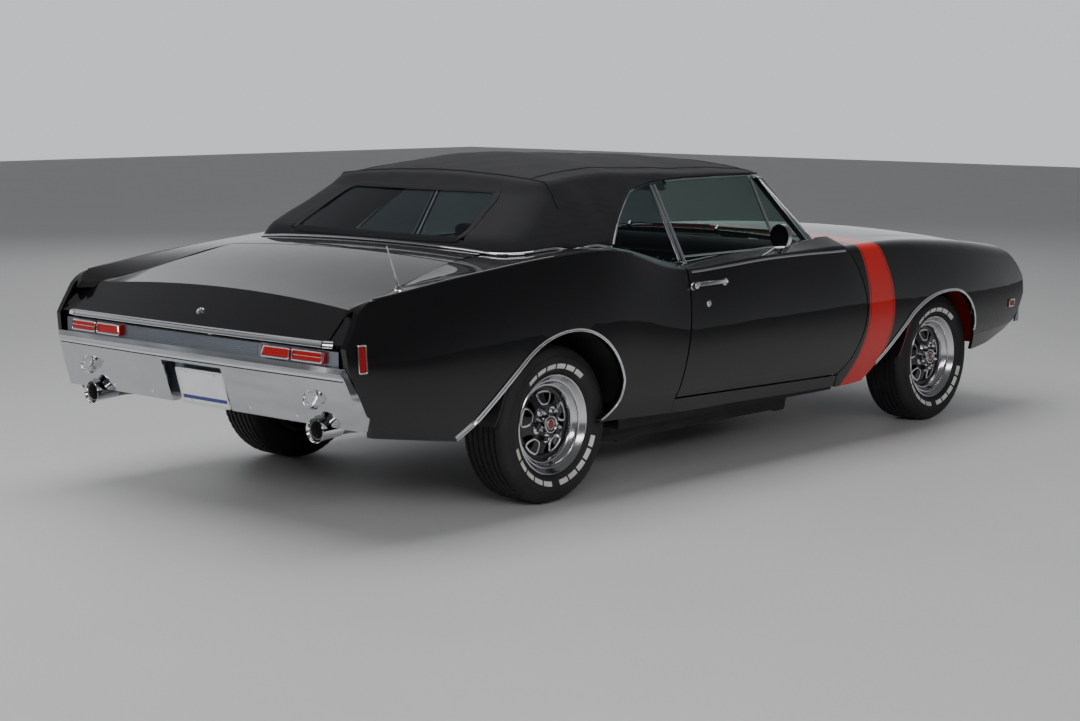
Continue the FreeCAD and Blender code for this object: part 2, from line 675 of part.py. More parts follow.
# Rear bumper: ledge, crease and leaning face, wrapped round the corners
CREASE_X, CREASE_Z = TAIL_X - 13, 642.0
FACE_LOW_X, FACE_LOW_Z = TAIL_X + 64, 431.0
bumper_profile = [
    (panel_x, TAIL_Z - 82), (TAIL_X - 7, TAIL_Z - 82), (CREASE_X, CREASE_Z + 3), (CREASE_X + 9, CREASE_Z - 10),
    (FACE_LOW_X, FACE_LOW_Z), (TAIL_X + 420, FACE_LOW_Z), (TAIL_X + 420, TAIL_Z - 42), (panel_x, TAIL_Z - 42)]
bumper_half = WIDE - 68
bumper_back = TAIL_X - 40
bumper_plan = plan_prism(
    [(bumper_back, 110 - bumper_half), [(bumper_back + 62, 22 - bumper_half), (bumper_back + 120, -bumper_half)],
     (TAIL_X + 300, -bumper_half - 22), (TAIL_X + 300, bumper_half + 22), (bumper_back + 120, bumper_half),
     [(bumper_back + 62, bumper_half - 22), (bumper_back, bumper_half - 110)]], 300, 900)
panel_room = tail_sweep(
    [(panel_x, TAIL_Z + 40), (panel_x, TAIL_Z - 111), (panel_x + 47, TAIL_Z - 151), (panel_x + 97, PANEL_LOW - 1),
     (TAIL_X + 420, PANEL_LOW - 1), (TAIL_X + 420, TAIL_Z + 40)], -PANEL_HALF - 2, PANEL_HALF + 2)
bumper = tail_sweep(bumper_profile, -1000, 1000).common(bumper_plan).cut(panel_room)
bumper_cut = side_prism(
    [(TAIL_X + 28, 900), (TAIL_X + 14, 680), [(TAIL_X + 50, 590), (TAIL_X + 118, 492)],
     (TAIL_X + 92, 380), (TAIL_X + 700, 380), (TAIL_X + 700, 900)], -1100, 1100)
bumper = bumper.cut(bumper_cut)
RECESS = 182.0
bumper = bumper.cut(block(TAIL_X - 60, TAIL_X + 110, -RECESS, RECESS, 300, 600))
TIP_Y, TIP_Z = 684.0, 418.0
for side in (-1, 1):
    bumper = bumper.cut(Part.makeCylinder(size("tip_radius") + 14, 300,
                                          Vector(TAIL_X - 60, side * TIP_Y, TIP_Z), Vector(1, 0, 0)))
    bumper = bumper.cut(block(TAIL_X - 60, TAIL_X + 200, side * TIP_Y - size("tip_radius") - 14,
                              side * TIP_Y + size("tip_radius") + 14, 340, TIP_Z))
bumper = largest(bumper.cut(quarter).cut(mirrored(quarter)))
add_form("rear_bumper", bumper)

# Number plate in the bumper's recess, leaning with it
bound_box("license_plate", ("4", "Sizes.plate_width", "Sizes.plate_height"),
          (TAIL_RULE + " + 68 + Sizes.plate_height / 2 * sin(15 deg)", "-Sizes.plate_width / 2",
           "500 - Sizes.plate_height / 2 * cos(15 deg)"), Rotation(Vector(0, 1, 0), -15))

# ---------------------------------------------------------------------------
# Soft top
# ---------------------------------------------------------------------------

HEM_Z = BELT + 92
BOW_X, BOW_Z = REAR + 212, 1303.0
HEM_REAR_X = REAR - 205
TOP_FRONT_X = pillar_top.x + header_front + 6


def top_ring(z, rear_x, half_rear, half_front, corner, bow, wall):
    """Horizontal section of the soft top, its sides and bowed rear moved in by wall."""
    x0, yr, yf = rear_x + wall, half_rear - wall, half_front - wall
    front = TOP_FRONT_X + 200
    side = Vector(x0 + corner, yr, z)
    bend = Vector(x0 + corner * 0.29, yr - corner * 0.22, z)
    back = Vector(x0 + 6, yr - corner * 0.85, z)
    mid = Vector(x0 - bow, 0, z)

    def flip(v):
        return Vector(v.x, -v.y, v.z)
    return path([Vector(front, -yf, z), Vector(front, yf, z), side, (bend, back),
                 (mid, flip(back)), (flip(bend), flip(side))])


#  height over the hem, rear edge behind the bow, half width at the rear and front, corner, bow
TOP_RINGS = [
    (-20, -408, 790, 780, 150, 40),
    (50, -378, 748, 742, 140, 34),
    (218, -98, 648, 642, 120, 20),
    (400, 98, 540, 534, 100, 14),
]


def top_mass(wall):
    """The soft top's sides and sloping rear, before the roof's crown is cut."""
    rings = [top_ring(HEM_Z + up, BOW_X + back, rear, front, corner, bow, wall)
             for up, back, rear, front, corner, bow in TOP_RINGS]
    return Part.makeLoft(rings, True, True)


ROOF_ROWS = [
    (REAR - 260, 1160, 1196), (REAR + 212, 1270, 1306), (REAR + 420, 1288, 1356),
    (REAR + 760, 1288, 1370), (REAR + 1190, 1276, 1352), (FRONT - 1201, 1262, 1326),
    (TOP_FRONT_X + 60, 1240, 1300)]


def roof_ring(x, edge, crown, wall):
    """Section of the roof's crown at x: everything under the arc."""
    half = 820
    edge = crown - (crown - edge) * (half / size("roof_half_width")) ** 2
    return path([Vector(x, half, edge - wall), (Vector(x, 0, crown - wall), Vector(x, -half, edge - wall)),
                 Vector(x, -half, 700), Vector(x, half, 700)])


def roof_mass(wall):
    """Solid under the roof's crown."""
    return Part.makeLoft([roof_ring(x, edge, crown, wall) for x, edge, crown in ROOF_ROWS], True, False)


cloth = size("top_cloth")
SIDE_OPENING = [
    (REAR + 436, HEM_Z - 40), (REAR + 436, HEM_Z), (REAR + 549, 1112), (REAR + 702, 1220),
    (REAR + 738, 1229), (REAR + 877, 1251), (REAR + 1106, 1261), (A_TOP[0] + 2, 1262),
    (A_TOP[0] + 60, 1262), (TOP_FRONT_X + 500, 900), (REAR + 436, 900)]
top = top_mass(0).common(roof_mass(0)).cut(top_mass(cloth).common(roof_mass(cloth)))
top = top.cut(side_prism(SIDE_OPENING, -1000, 1000))
top = top.cut(block(TOP_FRONT_X, TOP_FRONT_X + 600, -1000, 1000, 900, 1500))
WINDOW_HALF_TOP, WINDOW_HALF_FOOT = 445.0, 508.0
WINDOW_TOP_Z, WINDOW_FOOT_Z = 1225.0, 1057.0


def window_prism(grow):
    """Rear window opening, cut straight back through the sloping rear."""
    top_y, foot_y, corner = WINDOW_HALF_TOP + grow, WINDOW_HALF_FOOT + grow, 45 + grow
    high, low = WINDOW_TOP_Z + grow, WINDOW_FOOT_Z - grow
    x = HEM_REAR_X - 300

    def at(y, z):
        return Vector(x, y, z)
    nip = corner * 0.29
    return Part.Face(path([
        at(foot_y - corner, low), (at(foot_y - nip, low + nip), at(foot_y, low + corner)),
        at(top_y, high - corner), (at(top_y - nip, high - nip), at(top_y - corner, high)),
        at(corner - top_y, high), (at(nip - top_y, high - nip), at(-top_y, high - corner)),
        at(-foot_y, low + corner), (at(nip - foot_y, low + nip), at(corner - foot_y, low)),
    ])).extrude(Vector(700, 0, 0))


rear_light = top_mass(4).cut(top_mass(10)).common(window_prism(-1))
top = top.cut(window_prism(0)).cut(deck).cut(quarter).cut(mirrored(quarter))
add_form("soft_top", largest(top))
add_form("rear_window", rear_light)
over_cloth = block(A_TOP[0] - 200, TOP_FRONT_X, -1000, 1000, 1200, 1500).cut(roof_mass(cloth))
add_form("windshield", windshield.cut(over_cloth))
add_form("windshield_frame", frame.cut(over_cloth))

# ---------------------------------------------------------------------------
# Floor, bulkhead, wheelhouses and interior
# ---------------------------------------------------------------------------

FLOOR = size("floor_height")
CABIN_HALF = WIDE - size("door_wall") - 62
BULKHEAD_X = FRONT - 800
floor_profile = [
    (-CABIN_HALF, FLOOR + 60), (-CABIN_HALF, FLOOR), (-170, FLOOR), (-120, FLOOR + 120),
    (120, FLOOR + 120), (170, FLOOR), (CABIN_HALF, FLOOR), (CABIN_HALF, FLOOR + 60),
    (CABIN_HALF - 12, FLOOR + 60), (CABIN_HALF - 12, FLOOR + 12), (178, FLOOR + 12),
    (128, FLOOR + 132), (-128, FLOOR + 132), (-178, FLOOR + 12), (-CABIN_HALF + 12, FLOOR + 12),
    (-CABIN_HALF + 12, FLOOR + 60)]
SEAT_PAN_X = REAR + 480
TRUNK_Z = 530.0
TRUNK_REAR_X = TAIL_X + 126
floor = cross_prism(floor_profile, SEAT_PAN_X, BULKHEAD_X)
toe_board = side_prism([(BULKHEAD_X - 12, FLOOR), (BULKHEAD_X, FLOOR), (BULKHEAD_X, 895),
                        (BULKHEAD_X - 12, 895)], -CABIN_HALF, CABIN_HALF)
tunnel_mouth = cross_prism([(-170, FLOOR - 10), (-120, FLOOR + 120), (120, FLOOR + 120),
                            (170, FLOOR - 10)], SEAT_PAN_X - 20, BULKHEAD_X + 10)
kick_up = side_prism([(SEAT_PAN_X, FLOOR), (SEAT_PAN_X + 12, FLOOR), (SEAT_PAN_X + 12, FLOOR + 120),
                      (REAR + 184, 504), (REAR - 60, TRUNK_Z + 12), (TRUNK_REAR_X, TRUNK_Z + 12),
                      (TRUNK_REAR_X, TRUNK_Z), (REAR - 60, TRUNK_Z), (REAR + 180, 492),
                      (SEAT_PAN_X, FLOOR + 110)], -560, 560)
trunk_wings = block(TRUNK_REAR_X, REAR - 410, 125 - WIDE, WIDE - 125, TRUNK_Z, TRUNK_Z + 12)
floor_pan = floor.fuse([toe_board.cut(tunnel_mouth), kick_up.cut(tunnel_mouth), trunk_wings])
add_form("floor_pan", floor_pan.removeSplitter())

# Rear wheelhouses: half drums open to the road
HOUSE_RADIUS = size("tyre_radius") + 74


def wheelhouse(axle_x, inner_y, outer_y, radius, low_z):
    """Half-round shell over one left wheel, closed at its inner side."""
    centre = Vector(axle_x, inner_y, AXLE_Z)
    drum = Part.makeCylinder(radius, outer_y - inner_y, centre, Vector(0, 1, 0))
    hollow = Part.makeCylinder(radius - 9, outer_y - inner_y, centre + Vector(0, 9, 0), Vector(0, 1, 0))
    keep = block(axle_x - 900, axle_x + 900, inner_y - 10, outer_y + 10, low_z, 1000)
    return drum.cut(hollow).common(keep)


rear_house = wheelhouse(REAR, 575, WIDE - 46, HOUSE_RADIUS, AXLE_Z + 40)
rear_house = largest(rear_house.common(side_mass(SIDE_ROWS, 560)).cut(rear_wall))
add_form("rear_wheelhouses", both_sides(rear_house))
front_house = wheelhouse(FRONT, 452, WIDE - 46, size("tyre_radius") + 66, AXLE_Z + 40)
front_house = front_house.common(side_mass(FENDER_ROWS, 440)).cut(fender_wall)

# Dashboard with a padded brow, and the steering column
dash = side_prism(
    [(FRONT - 990, 690), (BULKHEAD_X - 14, 690), (BULKHEAD_X - 14, 880), (FRONT - 960, 915),
     [(FRONT - 1060, 932), (FRONT - 1088, 895)], (FRONT - 1072, 850), (FRONT - 1050, 760)],
    -CABIN_HALF + 4, CABIN_HALF - 4)
WHEEL_CENTRE = Vector(FRONT - 1290, 370, 872)
column_dir = Vector(math.cos(math.radians(22)), 0, -math.sin(math.radians(22)))
column = rod(WHEEL_CENTRE + column_dir * 60, WHEEL_CENTRE + column_dir * 300, 26)
dash = dash.cut(frame).cut(cowl).cut(windshield)
add_form("dashboard", largest(dash.fuse(column).removeSplitter()))

# Seats
SEAT_HALF = size("seat_width") / 2


def seat(middle_y, half, cushion, back):
    """Cushion and backrest of one seat from side outlines."""
    low, high = middle_y - half, middle_y + half
    return side_prism(cushion, low, high).fuse(side_prism(back, low, high)).removeSplitter()


front_cushion = [(FRONT - 1900, FLOOR + 132), (FRONT - 1400, FLOOR + 132), (FRONT - 1385, 500),
                 (FRONT - 1440, 545), (FRONT - 1880, 500)]
front_back = [(FRONT - 1990, 440), (FRONT - 1850, 440), (FRONT - 1960, 880),
              [(FRONT - 2010, 905), (FRONT - 2050, 870)]]
front_seat = seat(372, SEAT_HALF, front_cushion, front_back)
headrest = side_prism([(FRONT - 2060, 930), (FRONT - 1975, 930), [(FRONT - 1975, 1000), (FRONT - 2020, 1034)],
                       [(FRONT - 2075, 1000), (FRONT - 2075, 960)]], 372 - 125, 372 + 125)
post = block(FRONT - 2024, FRONT - 2012, 366, 378, 860, 960)
front_seat = front_seat.fuse(headrest).fuse(post)
add_form("front_seats", both_sides(front_seat))

rear_cushion = [(SEAT_PAN_X + 14, FLOOR + 14), (REAR + 670, FLOOR + 14), (REAR + 690, 470),
                (REAR + 420, 458), (REAR + 350, 440), (SEAT_PAN_X + 14, FLOOR + 124)]
rear_back = [(REAR + 300, 530), (REAR + 390, 440), (REAR + 470, 450), (REAR + 330, 900),
             [(REAR + 260, 925), (REAR + 215, 890)]]
rear_seat = side_prism(rear_cushion, -560, 560).cut(
    cross_prism([(-182, 0), (-182, FLOOR + 140), (182, FLOOR + 140), (182, 0)], -2000, 2000))
rear_seat = rear_seat.fuse(side_prism(rear_back, -560, 560)).removeSplitter()
add_form("rear_seat", rear_seat)

# ---------------------------------------------------------------------------
# Frame, engine, axle, exhaust, tank
# ---------------------------------------------------------------------------

PIPE = size("pipe_radius")
muffler = block(REAR + 500, REAR + 940, 240, 470, 165, 232)
front_pipe = pipe([Vector(FRONT - 600, 264, 470), Vector(FRONT - 640, 264, 202),
                   Vector(REAR + 900, 330, 200)], PIPE)
tail_pipe = pipe([Vector(REAR + 520, 350, 205), Vector(REAR + 200, 330, 215), Vector(REAR + 130, 330, 424),
                  Vector(REAR - 130, 330, 430), Vector(REAR - 330, 460, 330),
                  Vector(TAIL_X + 420, TIP_Y, TIP_Z - 20), Vector(TAIL_X + 200, TIP_Y, TIP_Z - 4)], PIPE)
tip = Part.makeCone(size("tip_radius"), PIPE + 3, 190, Vector(TAIL_X + 48, TIP_Y, TIP_Z), Vector(1, 0, 0))
tip = tip.cut(Part.makeCone(size("tip_radius") - 3, PIPE, 150, Vector(TAIL_X + 47, TIP_Y, TIP_Z), Vector(1, 0, 0)))
exhaust = front_pipe.fuse(muffler).fuse(tail_pipe).fuse(tip)
exhaust = both_sides(exhaust.removeSplitter())
add_form("exhaust_system", exhaust)

RAIL_W, RAIL_H = size("rail_width"), size("rail_height")
RAIL_Z = size("frame_height")
rail_low = RAIL_Z
RAIL_Y = size("rail_y")
NARROW_Y = 400.0


def rail_piece(start, end):
    """Box-section run between two (x, y, z) rail centres."""
    (x0, y0, z0), (x1, y1, z1) = start, end
    low, high = RAIL_H / 2, RAIL_W / 2
    first = path([Vector(x0, y0 - high, z0 - low), Vector(x0, y0 + high, z0 - low),
                  Vector(x0, y0 + high, z0 + low), Vector(x0, y0 - high, z0 + low)])
    last = path([Vector(x1, y1 - high, z1 - low), Vector(x1, y1 + high, z1 - low),
                 Vector(x1, y1 + high, z1 + low), Vector(x1, y1 - high, z1 + low)])
    return Part.makeLoft([first, last], True, True)


mid = RAIL_Z + RAIL_H / 2
rail_route = [
    (TAIL_X + 160, 480, 470), (REAR - 420, 480, 470), (REAR - 160, 480, 478), (REAR + 200, 480, 438),
    (REAR + 470, RAIL_Y - 40, mid - 5), (REAR + 560, RAIL_Y, mid - 5), (FRONT - 1020, RAIL_Y, mid - 5),
    (FRONT - 660, NARROW_Y, mid), (FRONT - 380, NARROW_Y, 300), (FRONT + 420, NARROW_Y, 330),
    (FRONT + 760, NARROW_Y + 20, 350)]
rails = rail_piece(rail_route[0], rail_route[1])
for start, end in zip(rail_route[1:], rail_route[2:]):
    rails = rails.fuse(rail_piece(start, end))
cross_low = block(FRONT - 60, FRONT + 60, -NARROW_Y, NARROW_Y, 225, 300)
cross_mid = block(FRONT - 1120, FRONT - 1030, -RAIL_Y, RAIL_Y, rail_low - 5, rail_low + 45)
cross_rear = block(REAR - 270, REAR - 190, -480, 480, 472, 512)
cross_tail = block(TAIL_X + 160, TAIL_X + 200, -480, 480, 465, 505)
cross_nose = block(FRONT + 700, FRONT + 750, -420, 420, 320, 380)
chassis = rails.fuse(mirrored(rails)).fuse(cross_low).fuse(cross_mid).fuse(cross_rear)
chassis = chassis.fuse(cross_tail).fuse(cross_nose)
pipe_room = rod(Vector(FRONT - 640, 264, 202), Vector(REAR + 900, 330, 200), PIPE + 7)
chassis = chassis.cut(pipe_room).cut(mirrored(pipe_room))
LUG = size("lug_face")
LUG_DROP = 8.0
LUG_PLACES = [(REAR + 640, RAIL_Y), (REAR + 640, -RAIL_Y), (FRONT - 1060, RAIL_Y), (FRONT - 1060, -RAIL_Y)]
for x, y in LUG_PLACES:
    chassis = chassis.fuse(block(x - LUG / 2, x + LUG / 2, y - LUG / 2, y + LUG / 2,
                                 rail_low - 5 - LUG_DROP, rail_low + 20))
add_form("chassis_frame", chassis.removeSplitter())

engine = block(FRONT - 690, FRONT - 60, -230, 230, 330, 640).fuse(
    block(FRONT - 640, FRONT - 110, -300, 300, 480, 700)).fuse(
    block(FRONT - 1250, FRONT - 690, -95, 95, 215, 350)).fuse(
    Part.makeCylinder(190, 80, Vector(FRONT - 380, 0, 700), Vector(0, 0, 1))).fuse(
    block(FRONT - 540, FRONT - 240, -NARROW_Y + 35, NARROW_Y - 35, 330, 370))
add_form("engine_block", engine.removeSplitter())

# Rear axle: tubes, differential and drums; the drive shaft runs forward from it
DRUM = size("drum_radius")
tube = rod(Vector(REAR, -WHEEL_Y + 66, AXLE_Z), Vector(REAR, WHEEL_Y - 66, AXLE_Z), 40)
pumpkin = Part.makeSphere(118, Vector(REAR, 0, AXLE_Z)).common(
    block(REAR - 125, REAR + 125, -118, 118, 190, 450))
nose = Part.makeCone(92, 40, 240, Vector(REAR + 60, 0, AXLE_Z), Vector(1, 0, -0.1))
shaft_start = Vector(REAR + 290, 0, AXLE_Z - 24)
shaft = rod(shaft_start, Vector(FRONT - 1256, 0, 285), 38)
axle = tube.fuse(pumpkin).fuse(nose).fuse(shaft)
for side in (-1, 1):
    drum = Part.makeCylinder(DRUM, 62, Vector(REAR, side * (WHEEL_Y - 66), AXLE_Z), Vector(0, side, 0))
    spring = Part.makeCylinder(58, 60, Vector(REAR + 5, side * 500, AXLE_Z + 30), Vector(0, 0, 1))
    axle = axle.fuse(drum).fuse(spring)
add_form("rear_axle", axle.removeSplitter())

bound_box("fuel_tank", ("%g - 760" % REAR_OVERHANG, "800", "130"),
          (TAIL_RULE + " + 330", "-400", "Sizes.frame_height + 220"))

# ---------------------------------------------------------------------------
# Front end
# ---------------------------------------------------------------------------

NOSE_X = FRONT + 937
NOSE_BOW_RADIUS = 4000.0
nose_axis_x = NOSE_X - NOSE_BOW_RADIUS


def nose_sweep(outline, y_low, y_high):
    """Sweep an (x, z) outline round an upright axis, so that the nose is bowed in plan."""
    start = math.degrees(math.asin(y_low / NOSE_BOW_RADIUS))
    end = math.degrees(math.asin(y_high / NOSE_BOW_RADIUS))
    face = Part.Face(path(in_side_plane(outline)))
    face.rotate(Vector(nose_axis_x, 0, 0), Vector(0, 0, 1), start)
    return face.revolve(Vector(nose_axis_x, 0, 0), Vector(0, 0, 1), end - start)


GRILLE_X = NOSE_X - 72
GRILLE_TOP, GRILLE_LOW = 748.0, 602.0
header_panel = nose_sweep(
    [(GRILLE_X - 60, BELT - 112), (GRILLE_X - 4, BELT - 118), (GRILLE_X + 18, GRILLE_TOP + 8),
     (GRILLE_X + 4, GRILLE_TOP), (GRILLE_X - 60, GRILLE_TOP + 20)], -800, 800)
header_panel = header_panel.fuse(nose_sweep(
    [(GRILLE_X - 60, 800), (GRILLE_X - 50, 800), (GRILLE_X - 50, 470), (GRILLE_X - 60, 470)], -800, 800))
header_panel = header_panel.fuse(nose_sweep(
    [(GRILLE_X - 52, 780), (GRILLE_X + 12, 780), (GRILLE_X + 8, 592), (GRILLE_X - 52, 592)], -52, 52))
LAMP_RADIUS = 73.0
LAMP_PLACES = [(HOOD_HALF - 90, 676), (HOOD_HALF + 60, 676)]  # y, z
BARS = 9
bars = []
for index in range(BARS):
    z = GRILLE_LOW + 14 + index * (GRILLE_TOP - GRILLE_LOW - 32) / (BARS - 1)
    bars.append(nose_sweep([(GRILLE_X - 34, z - 2.5), (GRILLE_X - 6, z - 2.5), (GRILLE_X - 6, z + 2.5),
                            (GRILLE_X - 34, z + 2.5)], 64, 520))
rim_low = nose_sweep([(GRILLE_X - 40, GRILLE_LOW), (GRILLE_X, GRILLE_LOW), (GRILLE_X, GRILLE_LOW + 8),
                      (GRILLE_X - 40, GRILLE_LOW + 8)], 58, 530)
rim_top = nose_sweep([(GRILLE_X - 40, GRILLE_TOP - 12), (GRILLE_X, GRILLE_TOP - 12),
                      (GRILLE_X, GRILLE_TOP - 4), (GRILLE_X - 40, GRILLE_TOP - 4)], 58, 530)
upright_in = nose_sweep([(GRILLE_X - 40, GRILLE_LOW), (GRILLE_X, GRILLE_LOW), (GRILLE_X, GRILLE_TOP - 4),
                         (GRILLE_X - 40, GRILLE_TOP - 4)], 58, 66)
upright_out = nose_sweep([(GRILLE_X - 40, GRILLE_LOW), (GRILLE_X, GRILLE_LOW), (GRILLE_X, GRILLE_TOP - 4),
                          (GRILLE_X - 40, GRILLE_TOP - 4)], 520, 530)
grille = rim_low.fuse([rim_top, upright_in, upright_out] + bars).removeSplitter()
add_form("grille", both_sides(grille))


def nose_x(x, y):
    """x of a point of the bowed nose at y, for a centre-plane x."""
    radius = x - nose_axis_x
    return nose_axis_x + math.sqrt(radius * radius - y * y)


lamps = []
lamp_bores = []
for y, z in LAMP_PLACES:
    front = Vector(nose_x(GRILLE_X - 12, y), y, z)
    lamp_bores.append(Part.makeCylinder(LAMP_RADIUS + 9, 200, front + Vector(60, 0, 0), Vector(-1, 0, 0)))
    bezel = Part.makeCylinder(LAMP_RADIUS + 8, 34, front, Vector(-1, 0, 0))
    bowl = Part.makeCylinder(LAMP_RADIUS, 12, front, Vector(-1, 0, 0))
    dome = Part.makeSphere(180, front + Vector(-172, 0, 0)).common(
        Part.makeCylinder(LAMP_RADIUS - 1, 30, front + Vector(-20, 0, 0), Vector(1, 0, 0)))
    lamps.append(bezel.cut(bowl).fuse(dome))
lamp_group = both_sides(Part.makeCompound([solid for lamp in lamps for solid in lamp.Solids]))
add_form("headlamps", lamp_group)

BUMPER_TOP, BUMPER_LOW = 588.0, 440.0


def front_bumper_profile(wall):
    """Centre-plane profile of the front bumper, moved in by wall."""
    return [(NOSE_X - 78, BUMPER_TOP - wall), (NOSE_X - 12 - wall, BUMPER_TOP - wall),
            (NOSE_X - wall, BUMPER_TOP - 40), (NOSE_X - 14 - wall, BUMPER_TOP - 78),
            (NOSE_X - 58 - wall, BUMPER_LOW - 3 * wall), (NOSE_X - 330, BUMPER_LOW - 3 * wall),
            (NOSE_X - 330, BUMPER_TOP - wall)]


def front_bumper_plan(wall):
    """Plan outline of the front bumper with rounded corners."""
    half = WIDE - 74 - wall
    nose = NOSE_X + 30
    return plan_prism([(nose, half - 190), [(nose - 120, half - 40), (nose - 190, half)],
                       (NOSE_X - 420, half + 20), (NOSE_X - 420, -half - 20), (nose - 190, -half),
                       [(nose - 120, 40 - half), (nose, 190 - half)]], 300, 900)


front_bumper = nose_sweep(front_bumper_profile(0), -1000, 1000).common(front_bumper_plan(0))
front_bumper = front_bumper.cut(
    nose_sweep(front_bumper_profile(8), -1000, 1000).common(front_bumper_plan(8)))
front_bumper = front_bumper.cut(side_prism(
    [(FRONT + 815, 900), (FRONT + 812, 560), (FRONT + 745, 462), (FRONT + 700, 380),
     (FRONT - 200, 380), (FRONT - 200, 900)], -1100, 1100))
front_bumper = front_bumper.cut(fender).cut(mirrored(fender))
add_form("front_bumper", largest(front_bumper))
header_panel = header_panel.cut(fender_wall).cut(mirrored(fender_wall)).cut(hood)
header_panel = header_panel.cut(both_sides(Part.makeCompound(lamp_bores)))
add_form("header_panel", largest(header_panel.cut(front_bumper).removeSplitter()))

valance = nose_sweep([(NOSE_X - 78, BUMPER_LOW + 30), (NOSE_X - 66, BUMPER_LOW + 30), (NOSE_X - 120, 352),
                      (NOSE_X - 134, 352)], -780, 780)
add_form("front_valance", valance.cut(front_bumper).cut(fender_wall).cut(mirrored(fender_wall)))

# ---------------------------------------------------------------------------
# Small body pieces
# ---------------------------------------------------------------------------


MARKER_PROUD = 6.0
LENS_GASKET = 0.4


def side_marker(rows, panel, x_low, x_high, z_low, z_high):
    """Lens as thick as it stands proud of its panel, within a window in the side view."""
    proud = side_mass(rows, WIDE - 320)
    proud.translate(Vector(0, MARKER_PROUD, 0))
    seat = panel.copy()
    seat.translate(Vector(0, LENS_GASKET, 0))
    window = block(x_low, x_high, WIDE - 240, WIDE + 20, z_low, z_high)
    return largest(proud.common(window).cut(side_mass(rows, WIDE - 340)).cut(panel).cut(seat))


markers = [side_marker(SIDE_ROWS, quarter, REAR - 1098, REAR - 1064, 643, 745),
           side_marker(FENDER_ROWS, fender, FRONT + 622, FRONT + 688, 527, 563)]
add_form("side_marker_lamps", both_sides(Part.makeCompound(markers)))

REVERSE_Y, REVERSE_Z = 681.0, 540.0
reversing = Part.makeCylinder(40, 26, Vector(TAIL_X + 20, REVERSE_Y, REVERSE_Z),
                              Vector(1, 0, -0.42))
add_form("reversing_lamps", both_sides(reversing.cut(bumper)))

mirror = Part.makeCylinder(56, 24, Vector(FRONT - 1347, 862, 994), Vector(1, 0.12, 0)).fuse(
    rod(Vector(FRONT - 1320, 856, 950), Vector(FRONT - 1300, 842, 912), 8))
mirror = mirror.cut(door)
add_form("door_mirror_left", mirror)
add_form("door_mirror_right", mirrored(mirror))

# ---------------------------------------------------------------------------
# Front suspension, knuckles, wheels and steering wheel
# ---------------------------------------------------------------------------

KINGPIN = size("kingpin_y")
ARM_LOW_Z, ARM_TOP_Z = AXLE_Z - 96, AXLE_Z + 106


def control_arm(z, thick, wide):
    """Tapered arm from the frame rail to the ball joint."""
    outline = [(FRONT - wide, NARROW_Y + 36), (FRONT + wide, NARROW_Y + 36), (FRONT + 26, KINGPIN - 51),
               (FRONT - 26, KINGPIN - 51)]
    return plan_prism(outline, z - thick / 2, z + thick / 2)


def knuckle_piece():
    """Upright, spindle and brake drum of the left front wheel."""
    upright = block(FRONT - 26, FRONT + 26, KINGPIN - 36, KINGPIN - 4, ARM_LOW_Z - 20, ARM_TOP_Z + 20)
    drum = Part.makeCylinder(DRUM, 50, Vector(FRONT, WHEEL_Y - 62, AXLE_Z), Vector(0, 1, 0))
    spindle = Part.makeCylinder(24, 70, Vector(FRONT, KINGPIN - 20, AXLE_Z), Vector(0, 1, 0))
    return upright.fuse(drum).fuse(spindle).removeSplitter()


SPRING_Y = 505.0
spring = Part.makeCylinder(56, ARM_TOP_Z - ARM_LOW_Z - 20, Vector(FRONT, SPRING_Y, ARM_LOW_Z + 10), Vector(0, 0, 1))
arms = control_arm(ARM_LOW_Z, 30, 150).fuse(control_arm(ARM_TOP_Z, 24, 110)).fuse(spring)
arms = arms.cut(chassis)
add_form("front_suspension", both_sides(arms))
add_form("front_liners", both_sides(largest(front_house.cut(arms))))

knuckle = knuckle_piece()
add_form("knuckle_left", knuckle)
add_form("knuckle_right", mirrored(knuckle))

RIM_R = size("rim_radius")
RIM_HALF = size("rim_width") / 2
TYRE_R = size("tyre_radius")
TYRE_HALF = size("tyre_width") / 2


def origin_plane(body, role):
    """One of a body's own origin planes."""
    for feature in body.Origin.OriginFeatures:
        if feature.Role == role:
            return feature
    raise RuntimeError("no plane " + role)


def sketch_on(body, name, role):
    """New sketch attached to an origin plane of its body."""
    sketch = body.newObject("Sketcher::SketchObject", name)
    sketch.AttachmentSupport = [(origin_plane(body, role), "")]
    sketch.MapMode = "FlatFace"
    return sketch


def closed_lines(sketch, corners):
    """Closed chain of lines through the corners."""
    for start, end in zip(corners, corners[1:] + corners[:1]):
        sketch.addGeometry(Part.LineSegment(Vector(start[0], start[1], 0), Vector(end[0], end[1], 0)), False)


def revolved(body, name, corners):
    """Turned solid from (radius, height) corners about the body's Z axis."""
    sketch = sketch_on(body, name + "Profile", "XZ_Plane")
    closed_lines(sketch, corners)
    turn = body.newObject("PartDesign::Revolution", name)
    turn.Profile = sketch
    turn.ReferenceAxis = (sketch, ["V_Axis"])
    turn.Angle = 360
    return turn


def polar_copies(body, name, original, sketch, count):
    """Pattern of a feature round the body's Z axis."""
    pattern = body.newObject("PartDesign::PolarPattern", name)
    pattern.Originals = [original]
    pattern.Axis = (sketch, ["N_Axis"])
    pattern.Angle = 360
    pattern.Occurrences = count
    body.Tip = pattern
    return pattern


def hang_wheel(body, end, side):
    """Turn local +Z outboard at one wheel and tie its middle to the sheet."""
    body.Placement = Placement(Vector(0, 0, 0), Rotation(Vector(1, 0, 0), -90.0 * side))
    axle = "Sizes.front_axle_x" if end == "front" else "Sizes.front_axle_x - Sizes.wheelbase"
    body.setExpression("Placement.Base.x", axle)
    body.setExpression("Placement.Base.y", "%d * Sizes.track / 2" % side)
    body.setExpression("Placement.Base.z", "Sizes.tyre_radius")
    nodes.append(body)


